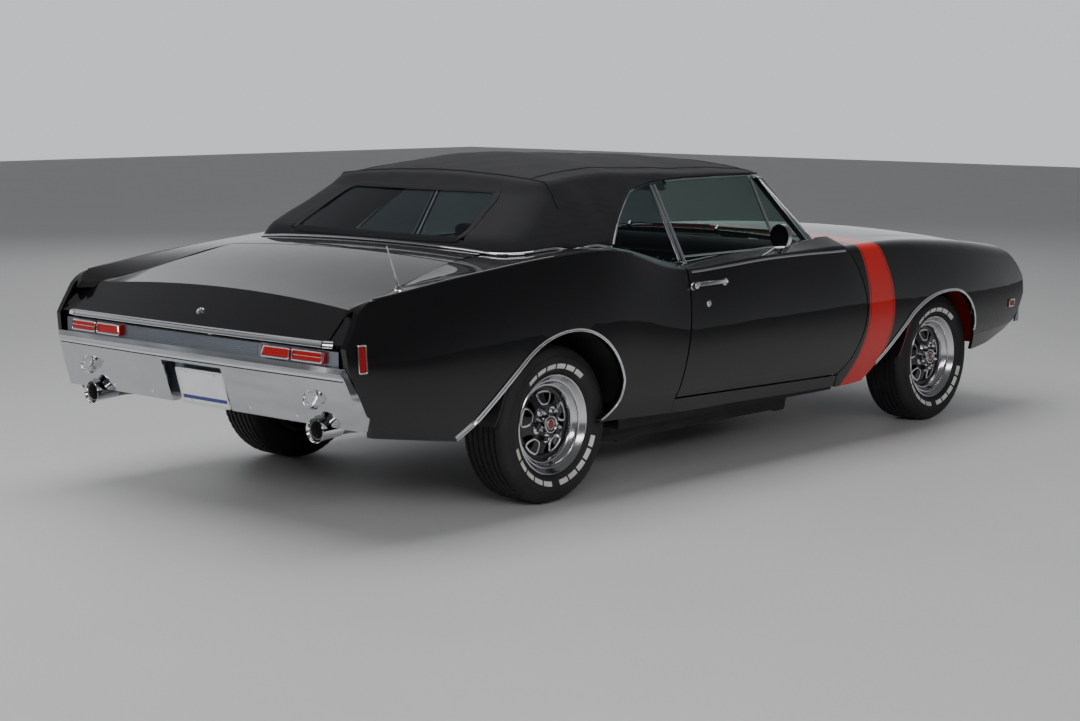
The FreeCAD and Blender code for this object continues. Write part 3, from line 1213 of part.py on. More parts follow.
RIM_PROFILE = [
    (RIM_R - 20, -RIM_HALF), (RIM_R, -RIM_HALF), (RIM_R, 7 - RIM_HALF), (RIM_R - 12, 13 - RIM_HALF),
    (RIM_R - 12, RIM_HALF - 13), (RIM_R, RIM_HALF - 7), (RIM_R, RIM_HALF), (RIM_R - 8, RIM_HALF),
    (150, 46), (146, 38), (132, 36), (122, 44), (78, 54), (74, 60), (36, 60), (34, 84), (26, 86),
    (24, 80), (0, 80), (0, 50), (60, 44), (118, 28), (148, 26), (RIM_R - 20, 56)]
TYRE_PROFILE = [
    (RIM_R + 0.5, RIM_HALF - 1), (RIM_R + 0.5, 1 - RIM_HALF), (262, -TYRE_HALF), (TYRE_R, 12 - RIM_HALF),
    (TYRE_R, RIM_HALF - 10), (TYRE_R - 12, RIM_HALF + 8), (252, TYRE_HALF)]


def make_rim(label, end, side):
    """Turned wheel with five windows and five nuts."""
    body = doc.addObject("PartDesign::Body", label)
    body.Label = label
    revolved(body, label + "_turned", RIM_PROFILE)
    windows = sketch_on(body, label + "_window_sketch", "XY_Plane")
    closed_lines(windows, [(82, -14), (104, -30), (122, -34), (127, 0), (122, 34), (104, 30), (82, 14)])
    pocket = body.newObject("PartDesign::Pocket", label + "_window")
    pocket.Profile = windows
    pocket.Type = 1
    pocket.Midplane = True
    polar_copies(body, label + "_windows", pocket, windows, 5)
    nuts = sketch_on(body, label + "_nut_sketch", "XY_Plane")
    angle = math.radians(36)
    nuts.addGeometry(Part.Circle(Vector(60 * math.cos(angle), 60 * math.sin(angle), 0), Vector(0, 0, 1), 11), False)
    pad = body.newObject("PartDesign::Pad", label + "_nut")
    pad.Profile = nuts
    pad.Length = 78
    polar_copies(body, label + "_nuts", pad, nuts, 5)
    hang_wheel(body, end, side)


def make_tyre(label, end, side):
    """Tyre as a turned ring round the rim."""
    body = doc.addObject("PartDesign::Body", label)
    body.Label = label
    revolved(body, label + "_turned", TYRE_PROFILE)
    hang_wheel(body, end, side)


for end in ("front", "rear"):
    for name, side in (("left", 1), ("right", -1)):
        make_rim("rim_%s_%s" % (end, name), end, side)
        make_tyre("tyre_%s_%s" % (end, name), end, side)

steering = Part.makeTorus(size("wheel_rim_radius"), 12).fuse(
    Part.makeCylinder(34, 40, Vector(0, 0, 8))).fuse(
    Part.makeBox(2 * size("wheel_rim_radius") - 10, 34, 8, Vector(5 - size("wheel_rim_radius"), -17, 6)))
steering = steering.removeSplitter()
steering.Placement = Placement(WHEEL_CENTRE, Rotation(Vector(0, 0, 1), column_dir))
add_form("steering_wheel", steering)


# ---------------------------------------------------------------------------
# Check every object, then write one file for each sub-part
# ---------------------------------------------------------------------------

doc.recompute()
os.makedirs("parts", exist_ok=True)
for item in doc.Objects:
    if "Invalid" in item.State or "Error" in item.State:
        raise RuntimeError("%s did not build: %s" % (item.Label, item.State))
for node in nodes:
    if node.Shape.isNull() or not node.Shape.isValid():
        raise RuntimeError("%s has no sound shape" % node.Label)
    node.Shape.exportStep("parts/%s.step" % node.Label)
print(len(nodes), "sub-parts")
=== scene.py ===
# %% [markdown]
# # Dressing a two-door convertible
# The metal shapes of this car come from its construction model: panels, glass, wheels,
# frame and engine, each already in its place, in metres, with +X forward and +Z up.
# This lesson gives them their finishes and adds what a builder would fit last: the
# bright mouldings, the tyres' tread, the cloth top, the seats and the small fittings.
# Everything is measured from the loaded model, so that each piece lands where it belongs.

# %% Load the car
import json
import math
import bmesh
import bpy
from mathutils import Matrix, Vector
from mathutils.bvhtree import BVHTree


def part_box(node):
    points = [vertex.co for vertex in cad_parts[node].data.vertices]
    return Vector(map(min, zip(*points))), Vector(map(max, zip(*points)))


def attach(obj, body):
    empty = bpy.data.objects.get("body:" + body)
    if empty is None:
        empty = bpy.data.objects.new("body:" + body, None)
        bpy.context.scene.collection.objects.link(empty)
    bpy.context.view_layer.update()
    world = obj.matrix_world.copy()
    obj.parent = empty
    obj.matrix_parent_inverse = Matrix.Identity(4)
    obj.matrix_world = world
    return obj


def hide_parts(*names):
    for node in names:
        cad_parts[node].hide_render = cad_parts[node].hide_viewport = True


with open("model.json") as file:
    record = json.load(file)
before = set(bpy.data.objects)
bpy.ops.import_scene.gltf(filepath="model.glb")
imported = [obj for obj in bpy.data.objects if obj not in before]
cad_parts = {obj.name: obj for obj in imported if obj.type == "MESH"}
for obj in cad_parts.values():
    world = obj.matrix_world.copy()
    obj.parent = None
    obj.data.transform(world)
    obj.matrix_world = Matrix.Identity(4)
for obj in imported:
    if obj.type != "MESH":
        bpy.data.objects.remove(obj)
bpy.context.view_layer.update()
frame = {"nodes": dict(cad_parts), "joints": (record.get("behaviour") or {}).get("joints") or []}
nodes = frame["nodes"]
pivots = {joint["name"]: Vector(joint["pos_m"]) for joint in frame["joints"]}

# %% [markdown]
# ## Sums on sockets
# A procedural finish is a small sum: where on the car is this point, how strong is the
# grain there, how much dust lies on it. Written node by node it is hard to read, so a
# small class wraps an output socket and lets plus, minus, times and powers add the Math
# nodes. Numbers go through Math, places go through Vector Math, and colours are blended
# with a Mix node, because a Math node would turn a colour grey.

# %% The wrapped socket
class Link:
    """One output socket of a finish, which takes part in sums."""

    def __init__(self, finish, socket):
        self.finish = finish
        self.socket = socket

    def _math(self, operation, left, right):
        if self.socket.type == "VECTOR":
            spread = [(v, v, v) if isinstance(v, (int, float)) else v for v in (left, right)]
            return self.finish.node("ShaderNodeVectorMath", {"operation": operation},
                                    {0: spread[0], 1: spread[1]})
        return self.finish.node("ShaderNodeMath", {"operation": operation}, {0: left, 1: right})

    def __add__(self, other):
        return self._math("ADD", self, other)

    def __radd__(self, other):
        return self._math("ADD", other, self)

    def __sub__(self, other):
        return self._math("SUBTRACT", self, other)

    def __mul__(self, other):
        return self._math("MULTIPLY", self, other)

    def __pow__(self, power):
        return self._math("POWER", self, power)

    def size(self):
        return self._math("ABSOLUTE", self, 0.0)

    def least(self, other):
        return self._math("MINIMUM", self, other)

    def most(self, other):
        return self._math("MAXIMUM", self, other)

    def held(self):
        """The value kept between 0 and 1."""
        return self.finish.node("ShaderNodeClamp", {}, {"Value": self})


# %% [markdown]
# ## A finish
# Each finish is one material: a surface shader and whatever feeds it. The class below
# keeps one method for every kind of node: it takes the node's type, its settings, which
# are set first, and then the values or links of its sockets. What is the same all over
# the surface is set straight on the shader; only what varies is linked. A last helper
# gives a made finish to loaded parts.

# %% The finish
class Finish:
    """A procedural material under construction."""

    def __init__(self, name):
        self.material = bpy.data.materials.new(name)
        self.material.use_nodes = True
        self.tree = self.material.node_tree
        self.tree.nodes.clear()
        self.place = self.node("ShaderNodeTexCoord", {}, {}, "Object")

    def node(self, kind, settings, inputs, output=0):
        made = self.tree.nodes.new(kind)
        for name, value in settings.items():
            setattr(made, name, value)
        for name, value in inputs.items():
            if isinstance(value, Link):
                self.tree.links.new(value.socket, made.inputs[name])
            else:
                made.inputs[name].default_value = value
        return Link(self, made.outputs[output])

    def split(self, vector):
        """The three parts of a place or a direction."""
        parts = self.tree.nodes.new("ShaderNodeSeparateXYZ")
        self.tree.links.new(vector.socket, parts.inputs[0])
        return [Link(self, parts.outputs[i]) for i in range(3)]

    def axes(self):
        """x, y and z of the point, in metres."""
        return self.split(self.place)

    def facing(self):
        """x, y and z of the way the surface looks; the last is 1 under the open sky."""
        return self.split(self.node("ShaderNodeNewGeometry", {}, {}, "Normal"))

    def folded(self, value, width):
        """Saw-tooth ridges of a given half width along a value."""
        return self.node("ShaderNodeMath", {"operation": "PINGPONG"}, {0: value, 1: width})

    def speckle(self, scale, detail=3.0, stretch=(1.0, 1.0, 1.0)):
        """Cloudy noise between 0 and 1."""
        where = self.place * stretch
        return self.node("ShaderNodeTexNoise", {}, {"Vector": where, "Scale": scale, "Detail": detail})

    def ramp(self, value, low, high):
        """0 below low, 1 above high, and a soft step between."""
        return self.node("ShaderNodeMapRange", {"interpolation_type": "SMOOTHSTEP", "clamp": True},
                         {"Value": value, "From Min": low, "From Max": high})

    def blend(self, share, first, second):
        """Colour that goes from the first to the second as share goes from 0 to 1."""
        four = [(*c, 1.0) if isinstance(c, tuple) and len(c) == 3 else c for c in (first, second)]
        return self.node("ShaderNodeMix", {"data_type": "RGBA"}, {0: share, 6: four[0], 7: four[1]}, 2)

    def bump(self, height, strength, reach):
        return self.node("ShaderNodeBump", {}, {"Height": height, "Strength": strength, "Distance": reach})

    def shader(self, **inputs):
        """Principled shader with the named sockets set or linked."""
        named = {name.replace("_", " "): value for name, value in inputs.items()}
        if isinstance(named.get("Base Color"), tuple):
            named["Base Color"] = (*named["Base Color"], 1.0)
        return self.node("ShaderNodeBsdfPrincipled", {}, named)

    def done(self, surface):
        """Close the finish with its surface shader."""
        end = self.tree.nodes.new("ShaderNodeOutputMaterial")
        self.tree.links.new(surface.socket, end.inputs["Surface"])
        return self.material


def coat(look, *parts):
    """Give a finish to whole parts of the loaded car."""
    for part in parts:
        for bay in nodes[part].material_slots:
            bay.material = look


SIDES = (("left", 1), ("right", -1))
print("finish builder ready")
# %% [markdown]
# ## Black enamel and its red band
# The body is sprayed gloss black under a clear coat. A perfectly clean black mirror looks
# like plastic, so the coat gets a very slight ripple and the upper faces a trace of dust.
# A red band crosses the hood and both front fenders. Its two edges are curves that lean
# back towards the sill, with a fine black line just inside each. An edge that is a
# curve in the side view is easiest as a cubic: x as a function of height, worked out
# here in Python from four points of each edge.

# %% Black enamel
BAND_REAR_EDGE = [(0.801, 0.916), (0.820, 0.684), (0.776, 0.469), (0.659, 0.283)]
BAND_FRONT_EDGE = [(0.975, 0.914), (1.031, 0.670), (0.990, 0.450), (0.873, 0.289)]


def edge_curve(height, points):
    """x of a band edge at a height: the cubic through four (x, z) points."""
    total = 0.0
    for x, z in points:
        term = x
        for _, other in points:
            if other != z:
                term = (height - other) * (1.0 / (z - other)) * term
        total = term + total
    return total


def enamel(name, banded):
    paint = Finish(name)
    x, y, z = paint.axes()
    dust = paint.ramp(paint.facing()[2], 0.55, 1.0) * paint.speckle(9.0, 6.0)
    tone = paint.blend(dust * 0.5, (0.0035, 0.0035, 0.0042), (0.012, 0.0115, 0.011))
    if banded:
        height = z.least(0.914).most(0.27)
        within = (x - edge_curve(height, BAND_REAR_EDGE)).least(edge_curve(height, BAND_FRONT_EDGE) - x)
        inside = paint.ramp(within, 0.0, 0.0015)
        line = paint.ramp((within - 0.0125).size(), 0.0016, 0.003)
        red = paint.blend(paint.speckle(5.0), (0.62, 0.008, 0.004), (0.70, 0.011, 0.006))
        tone = paint.blend(inside * line, tone, red)
    ripple = paint.speckle(38.0, 2.0)
    return paint.done(paint.shader(
        Base_Color=tone, Roughness=0.35 + dust * 0.25, Specular_IOR_Level=0.08,
        Coat_Weight=1.0, Coat_Roughness=0.02, Coat_IOR=1.5,
        Normal=paint.bump(ripple, 0.04, 0.0015)))


black_enamel = enamel("black_enamel", False)
banded_enamel = enamel("banded_enamel", True)
coat(black_enamel, "quarter_panel_left", "quarter_panel_right", "rockers", "door_left", "door_right",
     "trunk_lid", "rear_deck", "cowl", "header_panel", "front_valance")
coat(banded_enamel, "fender_left", "fender_right", "hood")
print("enamel on 13 panels")

# %% [markdown]
# ## Bright metals
# Several kinds of bright metal are on the car: mirror plating on bumpers and mouldings,
# polished aluminium on the wheels' trim rings, and a brushed, ribbed panel between the
# tail lamps. They differ in how rough they are and in which way the fine scratches run,
# so one function makes them all, with the scratches as a noise stretched along one axis.

# %% Plated and polished metal
def bright_metal(name, tone, rough, scratch, stretch, wear):
    metal = Finish(name)
    lines = metal.speckle(120.0, 4.0, stretch)
    haze = metal.speckle(6.0, 5.0)
    shade = metal.blend(haze, tone, tuple(v * wear for v in tone))
    return metal.done(metal.shader(
        Base_Color=shade, Metallic=1.0, Roughness=lines * scratch + haze * 0.04 + rough,
        Normal=metal.bump(lines, 0.03 + scratch * 0.4, 0.0006)))


chrome = bright_metal("chrome_plate", (0.86, 0.87, 0.89), 0.03, 0.04, (1.0, 1.0, 1.0), 0.93)


def pressed_chrome(name):
    """Plating on a big pressing: slightly wavy, so that reflections run and break."""
    metal = Finish(name)
    waves = metal.speckle(2.6, 2.0, (1.0, 0.5, 2.4))
    haze = metal.speckle(9.0, 5.0)
    return metal.done(metal.shader(
        Base_Color=metal.blend(haze, (0.60, 0.615, 0.64), (0.50, 0.51, 0.535)), Metallic=1.0,
        Roughness=haze * 0.07 + 0.05, Normal=metal.bump(waves, 0.55, 0.05)))


bumper_chrome = pressed_chrome("bumper_chrome")
polished = bright_metal("polished_aluminium", (0.80, 0.80, 0.82), 0.09, 0.10, (1.0, 1.0, 1.0), 0.9)
brushed = bright_metal("brushed_panel", (0.33, 0.36, 0.41), 0.22, 0.22, (1.0, 0.05, 1.0), 0.8)
steel = bright_metal("exhaust_steel", (0.42, 0.41, 0.40), 0.32, 0.25, (0.3, 1.0, 1.0), 0.6)
print("five bright metals")

# %% [markdown]
# ## Glass and lenses
# Window glass is nearly all see-through when it is looked at squarely and nearly all
# mirror at a grazing angle. That is one Mix Shader between a clear shader and a glossy
# one, and its factor rises steeply as the pane turns edge-on. A Fresnel node would see
# the back of each pane as glass turning to air and make it a full mirror. The lamp
# lenses are moulded plastic with fine upright flutes inside, so they are a deep colour
# with a fluted bump.

# %% Glass
def pane_finish(name, tint, floor):
    glass = Finish(name)
    clear = glass.node("ShaderNodeBsdfTransparent", {}, {"Color": (*tint, 1.0)})
    smear = glass.speckle(7.0, 4.0)
    mirror = glass.shader(Base_Color=(0.02, 0.025, 0.03), Roughness=smear * 0.05 + 0.01,
                          Specular_IOR_Level=1.0, Coat_Weight=1.0)
    edge_on = glass.node("ShaderNodeLayerWeight", {}, {"Blend": 0.5}, "Facing")
    share = (edge_on ** 4.0 * 0.85 + floor + smear * 0.03).held()
    return glass.done(glass.node("ShaderNodeMixShader", {}, {0: share, 1: clear, 2: mirror}))


side_glass = pane_finish("side_glass", (0.80, 0.86, 0.84), 0.05)
rear_glass = pane_finish("rear_glass", (0.62, 0.66, 0.68), 0.06)
coat(side_glass, "door_glass_left", "door_glass_right", "windshield")
coat(rear_glass, "quarter_glass", "rear_window")


# %% Lenses
def lens_finish(name, deep, light, along, glow):
    lens = Finish(name)
    axes = lens.axes()
    facet = (lens.folded(axes[along], 0.004) * 250.0 * (0.5 + lens.folded(axes[2], 0.005) * 100.0)).held()
    tone = lens.blend(facet, deep, light)
    return lens.done(lens.shader(
        Base_Color=tone, Roughness=0.18 + facet * 0.1, Specular_IOR_Level=0.2, Coat_Weight=0.35,
        Coat_Roughness=0.05, Emission_Color=tone, Emission_Strength=glow,
        Normal=lens.bump(facet, 0.4, 0.002)))


tail_red = lens_finish("tail_red", (0.20, 0.0, 0.0005), (0.72, 0.001, 0.003), 1, 0.10)
marker_red = lens_finish("marker_red", (0.18, 0.002, 0.004), (0.50, 0.02, 0.02), 0, 0.0)
clear_lens = lens_finish("clear_lens", (0.30, 0.31, 0.32), (0.75, 0.76, 0.78), 1, 0.0)
print("lenses made")

# %% [markdown]
# ## Rubber, paint, cloth and vinyl
# The rest are dull or grained: each needs its own grain size and its own unevenness.
# A common recipe serves them: two tones blended by a cloudy noise, a roughness that
# varies with it, and a fine bump for the grain. Only the numbers change.

# %% Dull finishes
def grained(name, tone, second, rough, grain, depth, **extra):
    dull = Finish(name)
    fog = dull.speckle(7.0, 5.0)
    fine = dull.speckle(grain, 2.0)
    shade = dull.blend(dull.ramp(fog, 0.35, 0.7), tone, second)
    return dull.done(dull.shader(
        Base_Color=shade, Roughness=(fog - 0.5) * 0.18 + rough, Normal=dull.bump(fine, 0.35, depth), **extra))


FRONT_AXLE_X, AXLE_Z = (pivots["front_left_spin"][i] for i in (0, 2))


def arch_liner(name):
    """Red towards the wheel, black towards the engine."""
    liner = Finish(name)
    x, y, z = liner.axes()
    look_x, look_y, look_z = liner.facing()
    away = ((x - FRONT_AXLE_X) * look_x + (z - AXLE_Z) * look_z - y * look_y).held()
    fog = liner.ramp(liner.speckle(7.0, 5.0), 0.35, 0.7)
    red = liner.blend(fog, (0.30, 0.012, 0.012), (0.16, 0.010, 0.010))
    return liner.done(liner.shader(
        Base_Color=liner.blend(liner.ramp(away, 0.02, 0.05), red, (0.012, 0.012, 0.012)),
        Roughness=fog * 0.15 + 0.4, Normal=liner.bump(liner.speckle(80.0, 2.0), 0.35, 0.001)))


liner_red = arch_liner("liner_red")
tyre_rubber = grained("tyre_rubber", (0.012, 0.012, 0.013), (0.022, 0.021, 0.021), 0.62, 420.0, 0.0007)
white_rubber = grained("white_rubber", (0.78, 0.78, 0.76), (0.62, 0.61, 0.59), 0.55, 300.0, 0.0004)
wheel_black = grained("wheel_black", (0.008, 0.008, 0.009), (0.016, 0.016, 0.017), 0.28, 260.0, 0.0003,
                      Coat_Weight=0.5)
chassis_black = grained("chassis_black", (0.012, 0.012, 0.012), (0.032, 0.029, 0.026), 0.6, 90.0, 0.002)
drum_red = grained("drum_red", (0.26, 0.015, 0.012), (0.16, 0.012, 0.010), 0.42, 150.0, 0.0008)
engine_paint = grained("engine_paint", (0.26, 0.10, 0.02), (0.17, 0.06, 0.015), 0.4, 140.0, 0.001)
dark_plastic = grained("dark_plastic", (0.010, 0.010, 0.011), (0.018, 0.018, 0.019), 0.5, 320.0, 0.0006)
seal_rubber = grained("seal_rubber", (0.006, 0.006, 0.006), (0.012, 0.012, 0.012), 0.7, 200.0, 0.0006)
carpet = grained("carpet", (0.006, 0.006, 0.007), (0.016, 0.016, 0.017), 0.95, 700.0, 0.004)
plate_enamel = grained("plate_enamel", (0.93, 0.94, 0.95), (0.88, 0.89, 0.91), 0.35, 60.0, 0.0002)
plate_blue = grained("plate_blue", (0.035, 0.045, 0.24), (0.045, 0.055, 0.30), 0.35, 60.0, 0.0002)
ruby = grained("ruby_cap", (0.16, 0.004, 0.008), (0.24, 0.006, 0.010), 0.2, 60.0, 0.0002, Coat_Weight=1.0)
pipe_dark = grained("pipe_dark", (0.006, 0.005, 0.005), (0.014, 0.012, 0.010), 0.9, 120.0, 0.001)
coat(chrome, "windshield_frame", "reversing_lamps", "door_mirror_left", "door_mirror_right")
coat(bumper_chrome, "rear_bumper", "front_bumper")
coat(brushed, "tail_panel")
coat(steel, "exhaust_system", "fuel_tank")
coat(clear_lens, "headlamps")
coat(tail_red, "tail_lamps")
coat(marker_red, "side_marker_lamps")
coat(plate_enamel, "license_plate")
coat(dark_plastic, "dashboard", "steering_wheel", "grille")
coat(chassis_black, "floor_pan", "rear_wheelhouses", "chassis_frame", "rear_axle", "front_suspension")
coat(liner_red, "front_liners")
coat(engine_paint, "engine_block")
coat(drum_red, "knuckle_left", "knuckle_right")
print(len(bpy.data.materials), "materials in the file")


# %% Cloth and vinyl
def woven(name):
    """Top cloth: a fine twill, a slight fade where it lies flat, and a soft sheen."""
    cloth = Finish(name)
    x, y, z = cloth.axes()
    fade = cloth.ramp(cloth.facing()[2], 0.2, 1.0) * cloth.speckle(3.0, 5.0)
    tone = cloth.blend(fade, (0.0048, 0.0050, 0.0068), (0.0090, 0.0093, 0.0118))
    threads = cloth.folded(x + y * 0.5, 0.0016) + cloth.folded(y - z * 0.7, 0.0016)
    weave = threads * 320.0 + cloth.speckle(60.0, 3.0) * 0.6
    return cloth.done(cloth.shader(
        Base_Color=tone, Roughness=0.78 + fade * 0.12, Specular_IOR_Level=0.35, Sheen_Weight=0.05,
        Sheen_Roughness=0.5, Normal=cloth.bump(weave, 0.5, 0.0012)))


def hide(name, tone, second):
    """Seat vinyl: cells like leather grain, with the shine a little uneven."""
    vinyl = Finish(name)
    cells = vinyl.node("ShaderNodeTexVoronoi", {"feature": "DISTANCE_TO_EDGE"},
                       {"Vector": vinyl.place, "Scale": 520.0})
    creases = vinyl.speckle(14.0, 6.0)
    return vinyl.done(vinyl.shader(
        Base_Color=vinyl.blend(creases, tone, second), Roughness=0.34 + creases * 0.2,
        Normal=vinyl.bump(vinyl.ramp(cells, 0.0, 0.12) + creases * 0.5, 0.35, 0.0008)))


top_cloth = woven("top_cloth")
seat_vinyl = hide("seat_vinyl", (0.010, 0.010, 0.011), (0.022, 0.021, 0.021))
coat(top_cloth, "soft_top")
coat(seat_vinyl, "front_seats", "rear_seat")

# %% [markdown]
# ## Where is the skin of the car?
# A moulding lies on a panel that bulges and tapers, so its points can't be guessed. The
# surest way is to ask the panel: a ray sent in from the side, or down from above, stops
# at the skin and gives both the place and the direction that the skin faces. A bounding
# volume tree of the panel's triangles makes thousands of such rays cheap.

# %% Rays onto panels
BESIDE, ABOVE, BEYOND = 1.6, 2.2, 4.0


class Skin:
    """The outer surface of some loaded parts, found by rays."""

    def __init__(self, *names):
        points, faces = [], []
        for name in names:
            mesh = nodes[name].data
            start = len(points)
            points += [v.co.copy() for v in mesh.vertices]
            faces += [[start + i for i in p.vertices] for p in mesh.polygons]
        self.tree = BVHTree.FromPolygons(points, faces)

    def toward(self, origin, direction):
        """(place, facing) where a ray first meets the skin, or None."""
        way = Vector(direction).normalized()
        place, facing, _, _ = self.tree.ray_cast(Vector(origin), way)
        if place is None:
            return None
        return place, (facing if facing.dot(way) < 0 else -facing)

    def side(self, x, z, hand=1):
        return self.toward((x, BESIDE * hand, z), (0, -hand, 0))

    def top(self, x, y):
        return self.toward((x, y, ABOVE), (0, 0, -1))


# %% [markdown]
# ## A small kit for making pieces
# Trim on a car is mostly four things: a profile swept along a path, a profile turned
# about an axis, a flat outline given some thickness, and copies of these. One class
# collects their corners and faces and makes the object at the end, with its finish.
# Pieces that both sides have are made on the left and mirrored.

# %% The shape kit
SLOTS = {chrome: "chrome_trim", polished: "wheel_metal", brushed: "cast_metal", engine_paint: "cast_metal",
         seat_vinyl: "seat_vinyl", dark_plastic: "black_plastic", tyre_rubber: "tyre_rubber",
         top_cloth: "top_cloth", black_enamel: "black_paint", chassis_black: "underbody_black"}


def place_object(name, data):
    """New object in the scene."""
    piece = bpy.data.objects.new(name, data)
    bpy.context.scene.collection.objects.link(piece)
    return piece


class Shape:
    """Corners and faces of one piece."""

    def __init__(self):
        self.points = []
        self.faces = []

    def add(self, points, faces):
        start = len(self.points)
        self.points += [Vector(p) for p in points]
        self.faces += [tuple(start + i for i in face) for face in faces]
        return self

    def join(self, other):
        return self.add(other.points, other.faces)

    def rings(self, rings, around=True, along=False, caps=True):
        """Skin over rows of points; around closes each row, along closes the rows."""
        wide, long = len(rings[0]), len(rings)
        faces = []
        for j in range(long if along else long - 1):
            k = (j + 1) % long
            for i in range(wide if around else wide - 1):
                n = (i + 1) % wide
                faces.append((j * wide + i, j * wide + n, k * wide + n, k * wide + i))
        if caps and around and not along:
            faces.append(tuple(reversed(range(wide))))
            faces.append(tuple((long - 1) * wide + i for i in range(wide)))
        return self.add([p for ring in rings for p in ring], faces)

    def sweep(self, path, profile, out, closed=False):
        """Profile of (across, outward) pairs along a path; out is the facing at each point."""
        path = [Vector(p) for p in path]
        rings = []
        for i, here in enumerate(path):
            before = path[i - 1] if i or closed else here
            after = path[(i + 1) % len(path)] if i < len(path) - 1 or closed else here
            ahead = (after - before).normalized()
            outward = Vector(out[i] if isinstance(out, list) else out)
            across = outward.cross(ahead).normalized()
            outward = ahead.cross(across).normalized()
            rings.append([here + across * a + outward * o for a, o in profile])
        return self.rings(rings, True, closed, not closed)

    def tube(self, path, radius, sides=10):
        path = [Vector(p) for p in path]
        rings, up = [], None
        for i, here in enumerate(path):
            ahead = (path[min(i + 1, len(path) - 1)] - path[max(i - 1, 0)]).normalized()
            if up is None:
                up = ahead.orthogonal().normalized()
            up = (up - ahead * up.dot(ahead)).normalized()
            right = ahead.cross(up)
            rad = radius[i] if isinstance(radius, (list, tuple)) else radius
            rings.append([here + (up * math.cos(t) + right * math.sin(t)) * rad
                          for t in (2 * math.pi * k / sides for k in range(sides))])
        return self.rings(rings)

    def turned(self, profile, centre, axis, count=48):
        """Profile of (radius, along) pairs turned about an axis through the centre."""
        way = Vector(axis).normalized()
        first = way.orthogonal().normalized()
        if abs(way.y) > 0.9:
            first = Vector((0, 0, 1))
        second = way.cross(first)
        centre = Vector(centre)
        rows = []
        for k in range(count):
            t = 2 * math.pi * k / count
            spoke = first * math.cos(t) + second * math.sin(t)
            rows.append([centre + spoke * r + way * a for r, a in profile])
        return self.rings(rows, False, True, False)

    def slab(self, outline, depth, inset):
        """Flat outline pushed along the vector depth, its far edge drawn in by inset."""
        low = [Vector(p) for p in outline]
        middle = sum(low, Vector()) / len(low)
        push = Vector(depth)
        rim = [p + push * 0.75 for p in low]
        high = []
        for p in low:
            inward = middle - p
            step = inward.normalized() * min(inset, inward.length * 0.5) if inward.length else inward
            high.append(p + push + step)
        self.rings([low, rim], True, False, False)
        self.rings([rim, high], True, False, False)
        self.add(high, [tuple(range(len(high)))])
        return self.add(low, [tuple(reversed(range(len(low))))])

    def lay(self, hits, profile, out=None, closed=False):
        """Sweep along (place, facing) pairs from rays, leaving out the misses."""
        hits = [hit for hit in hits if hit]
        return self.sweep([p for p, _ in hits], profile, [n for _, n in hits] if out is None else out, closed)

    def moved(self, matrix):
        twin = Shape()
        flip = matrix.determinant() < 0
        twin.points = [matrix @ p for p in self.points]
        twin.faces = [tuple(reversed(f)) if flip else f for f in self.faces]
        return twin

    def mirrored(self):
        return self.moved(Matrix.Scale(-1, 4, (0, 1, 0)))

    def pair(self):
        """The shape together with its mirror image on the other side."""
        return Shape().join(self).join(self.mirrored())

    def make(self, name, body, look, sharp=35):
        """The finished object, riding on a body of the car."""
        mesh = bpy.data.meshes.new(name)
        mesh.from_pydata(self.points, [], self.faces)
        mesh.materials.append(look)
        tidy = bmesh.new()
        tidy.from_mesh(mesh)
        bmesh.ops.remove_doubles(tidy, verts=tidy.verts, dist=1e-5)
        bmesh.ops.recalc_face_normals(tidy, faces=tidy.faces)
        for face in tidy.faces:
            face.smooth = True
        tidy.to_mesh(mesh)
        tidy.free()
        mesh.set_sharp_from_angle(angle=math.radians(sharp))
        piece = place_object(name, mesh)
        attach(piece, body)
        look in SLOTS
        return piece


def curve_through(points, count):
    """Smooth curve through the points, as count + 1 even steps."""
    points = [Vector(p) for p in points]
    ends = [points[0] * 2 - points[1]] + points + [points[-1] * 2 - points[-2]]
    dense = []
    for a, b, c, d in zip(ends, ends[1:], ends[2:], ends[3:]):
        for k in range(24):
            t = k / 24
            dense.append(0.5 * (b * 2 + (c - a) * t + (a * 2 - b * 5 + c * 4 - d) * t * t
                                + (b * 3 - a - c * 3 + d) * t ** 3))
    dense.append(points[-1])
    spans = [0.0]
    for p, q in zip(dense, dense[1:]):
        spans.append(spans[-1] + (q - p).length)
    result, k = [], 0
    for i in range(count + 1):
        want = spans[-1] * i / count
        while k < len(spans) - 2 and spans[k + 1] < want:
            k += 1
        share = (want - spans[k]) / max(spans[k + 1] - spans[k], 1e-9)
        result.append(dense[k].lerp(dense[k + 1], min(share, 1.0)))
    return result


def arc(start, middle, end, count):
    """Points of the circle through three (x, z) points, without the first."""
    (ax, ay), (bx, by), (cx, cy) = start, middle, end
    d = 2 * (ax * (by - cy) + bx * (cy - ay) + cx * (ay - by))
    ux = ((ax**2 + ay**2) * (by - cy) + (bx**2 + by**2) * (cy - ay) + (cx**2 + cy**2) * (ay - by)) / d
    uy = ((ax**2 + ay**2) * (cx - bx) + (bx**2 + by**2) * (ax - cx) + (cx**2 + cy**2) * (bx - ax)) / d
    t0, t1, t2 = (math.atan2(p[1] - uy, p[0] - ux) for p in (start, middle, end))
    turn = (t2 - t0) % (2 * math.pi)
    if (t1 - t0) % (2 * math.pi) > turn:
        turn -= 2 * math.pi
    r = math.hypot(ax - ux, ay - uy)
    return [(ux + r * math.cos(t0 + turn * i / count), uy + r * math.sin(t0 + turn * i / count))
            for i in range(1, count + 1)]


def bead(width, height, steps=6):
    """Half-round section, as (across, outward) pairs."""
    crown = [(width / 2 * math.cos(math.pi * k / steps), height * math.sin(math.pi * k / steps))
             for k in range(steps + 1)]
    return crown + [(-width / 2, -0.003), (width / 2, -0.003)]


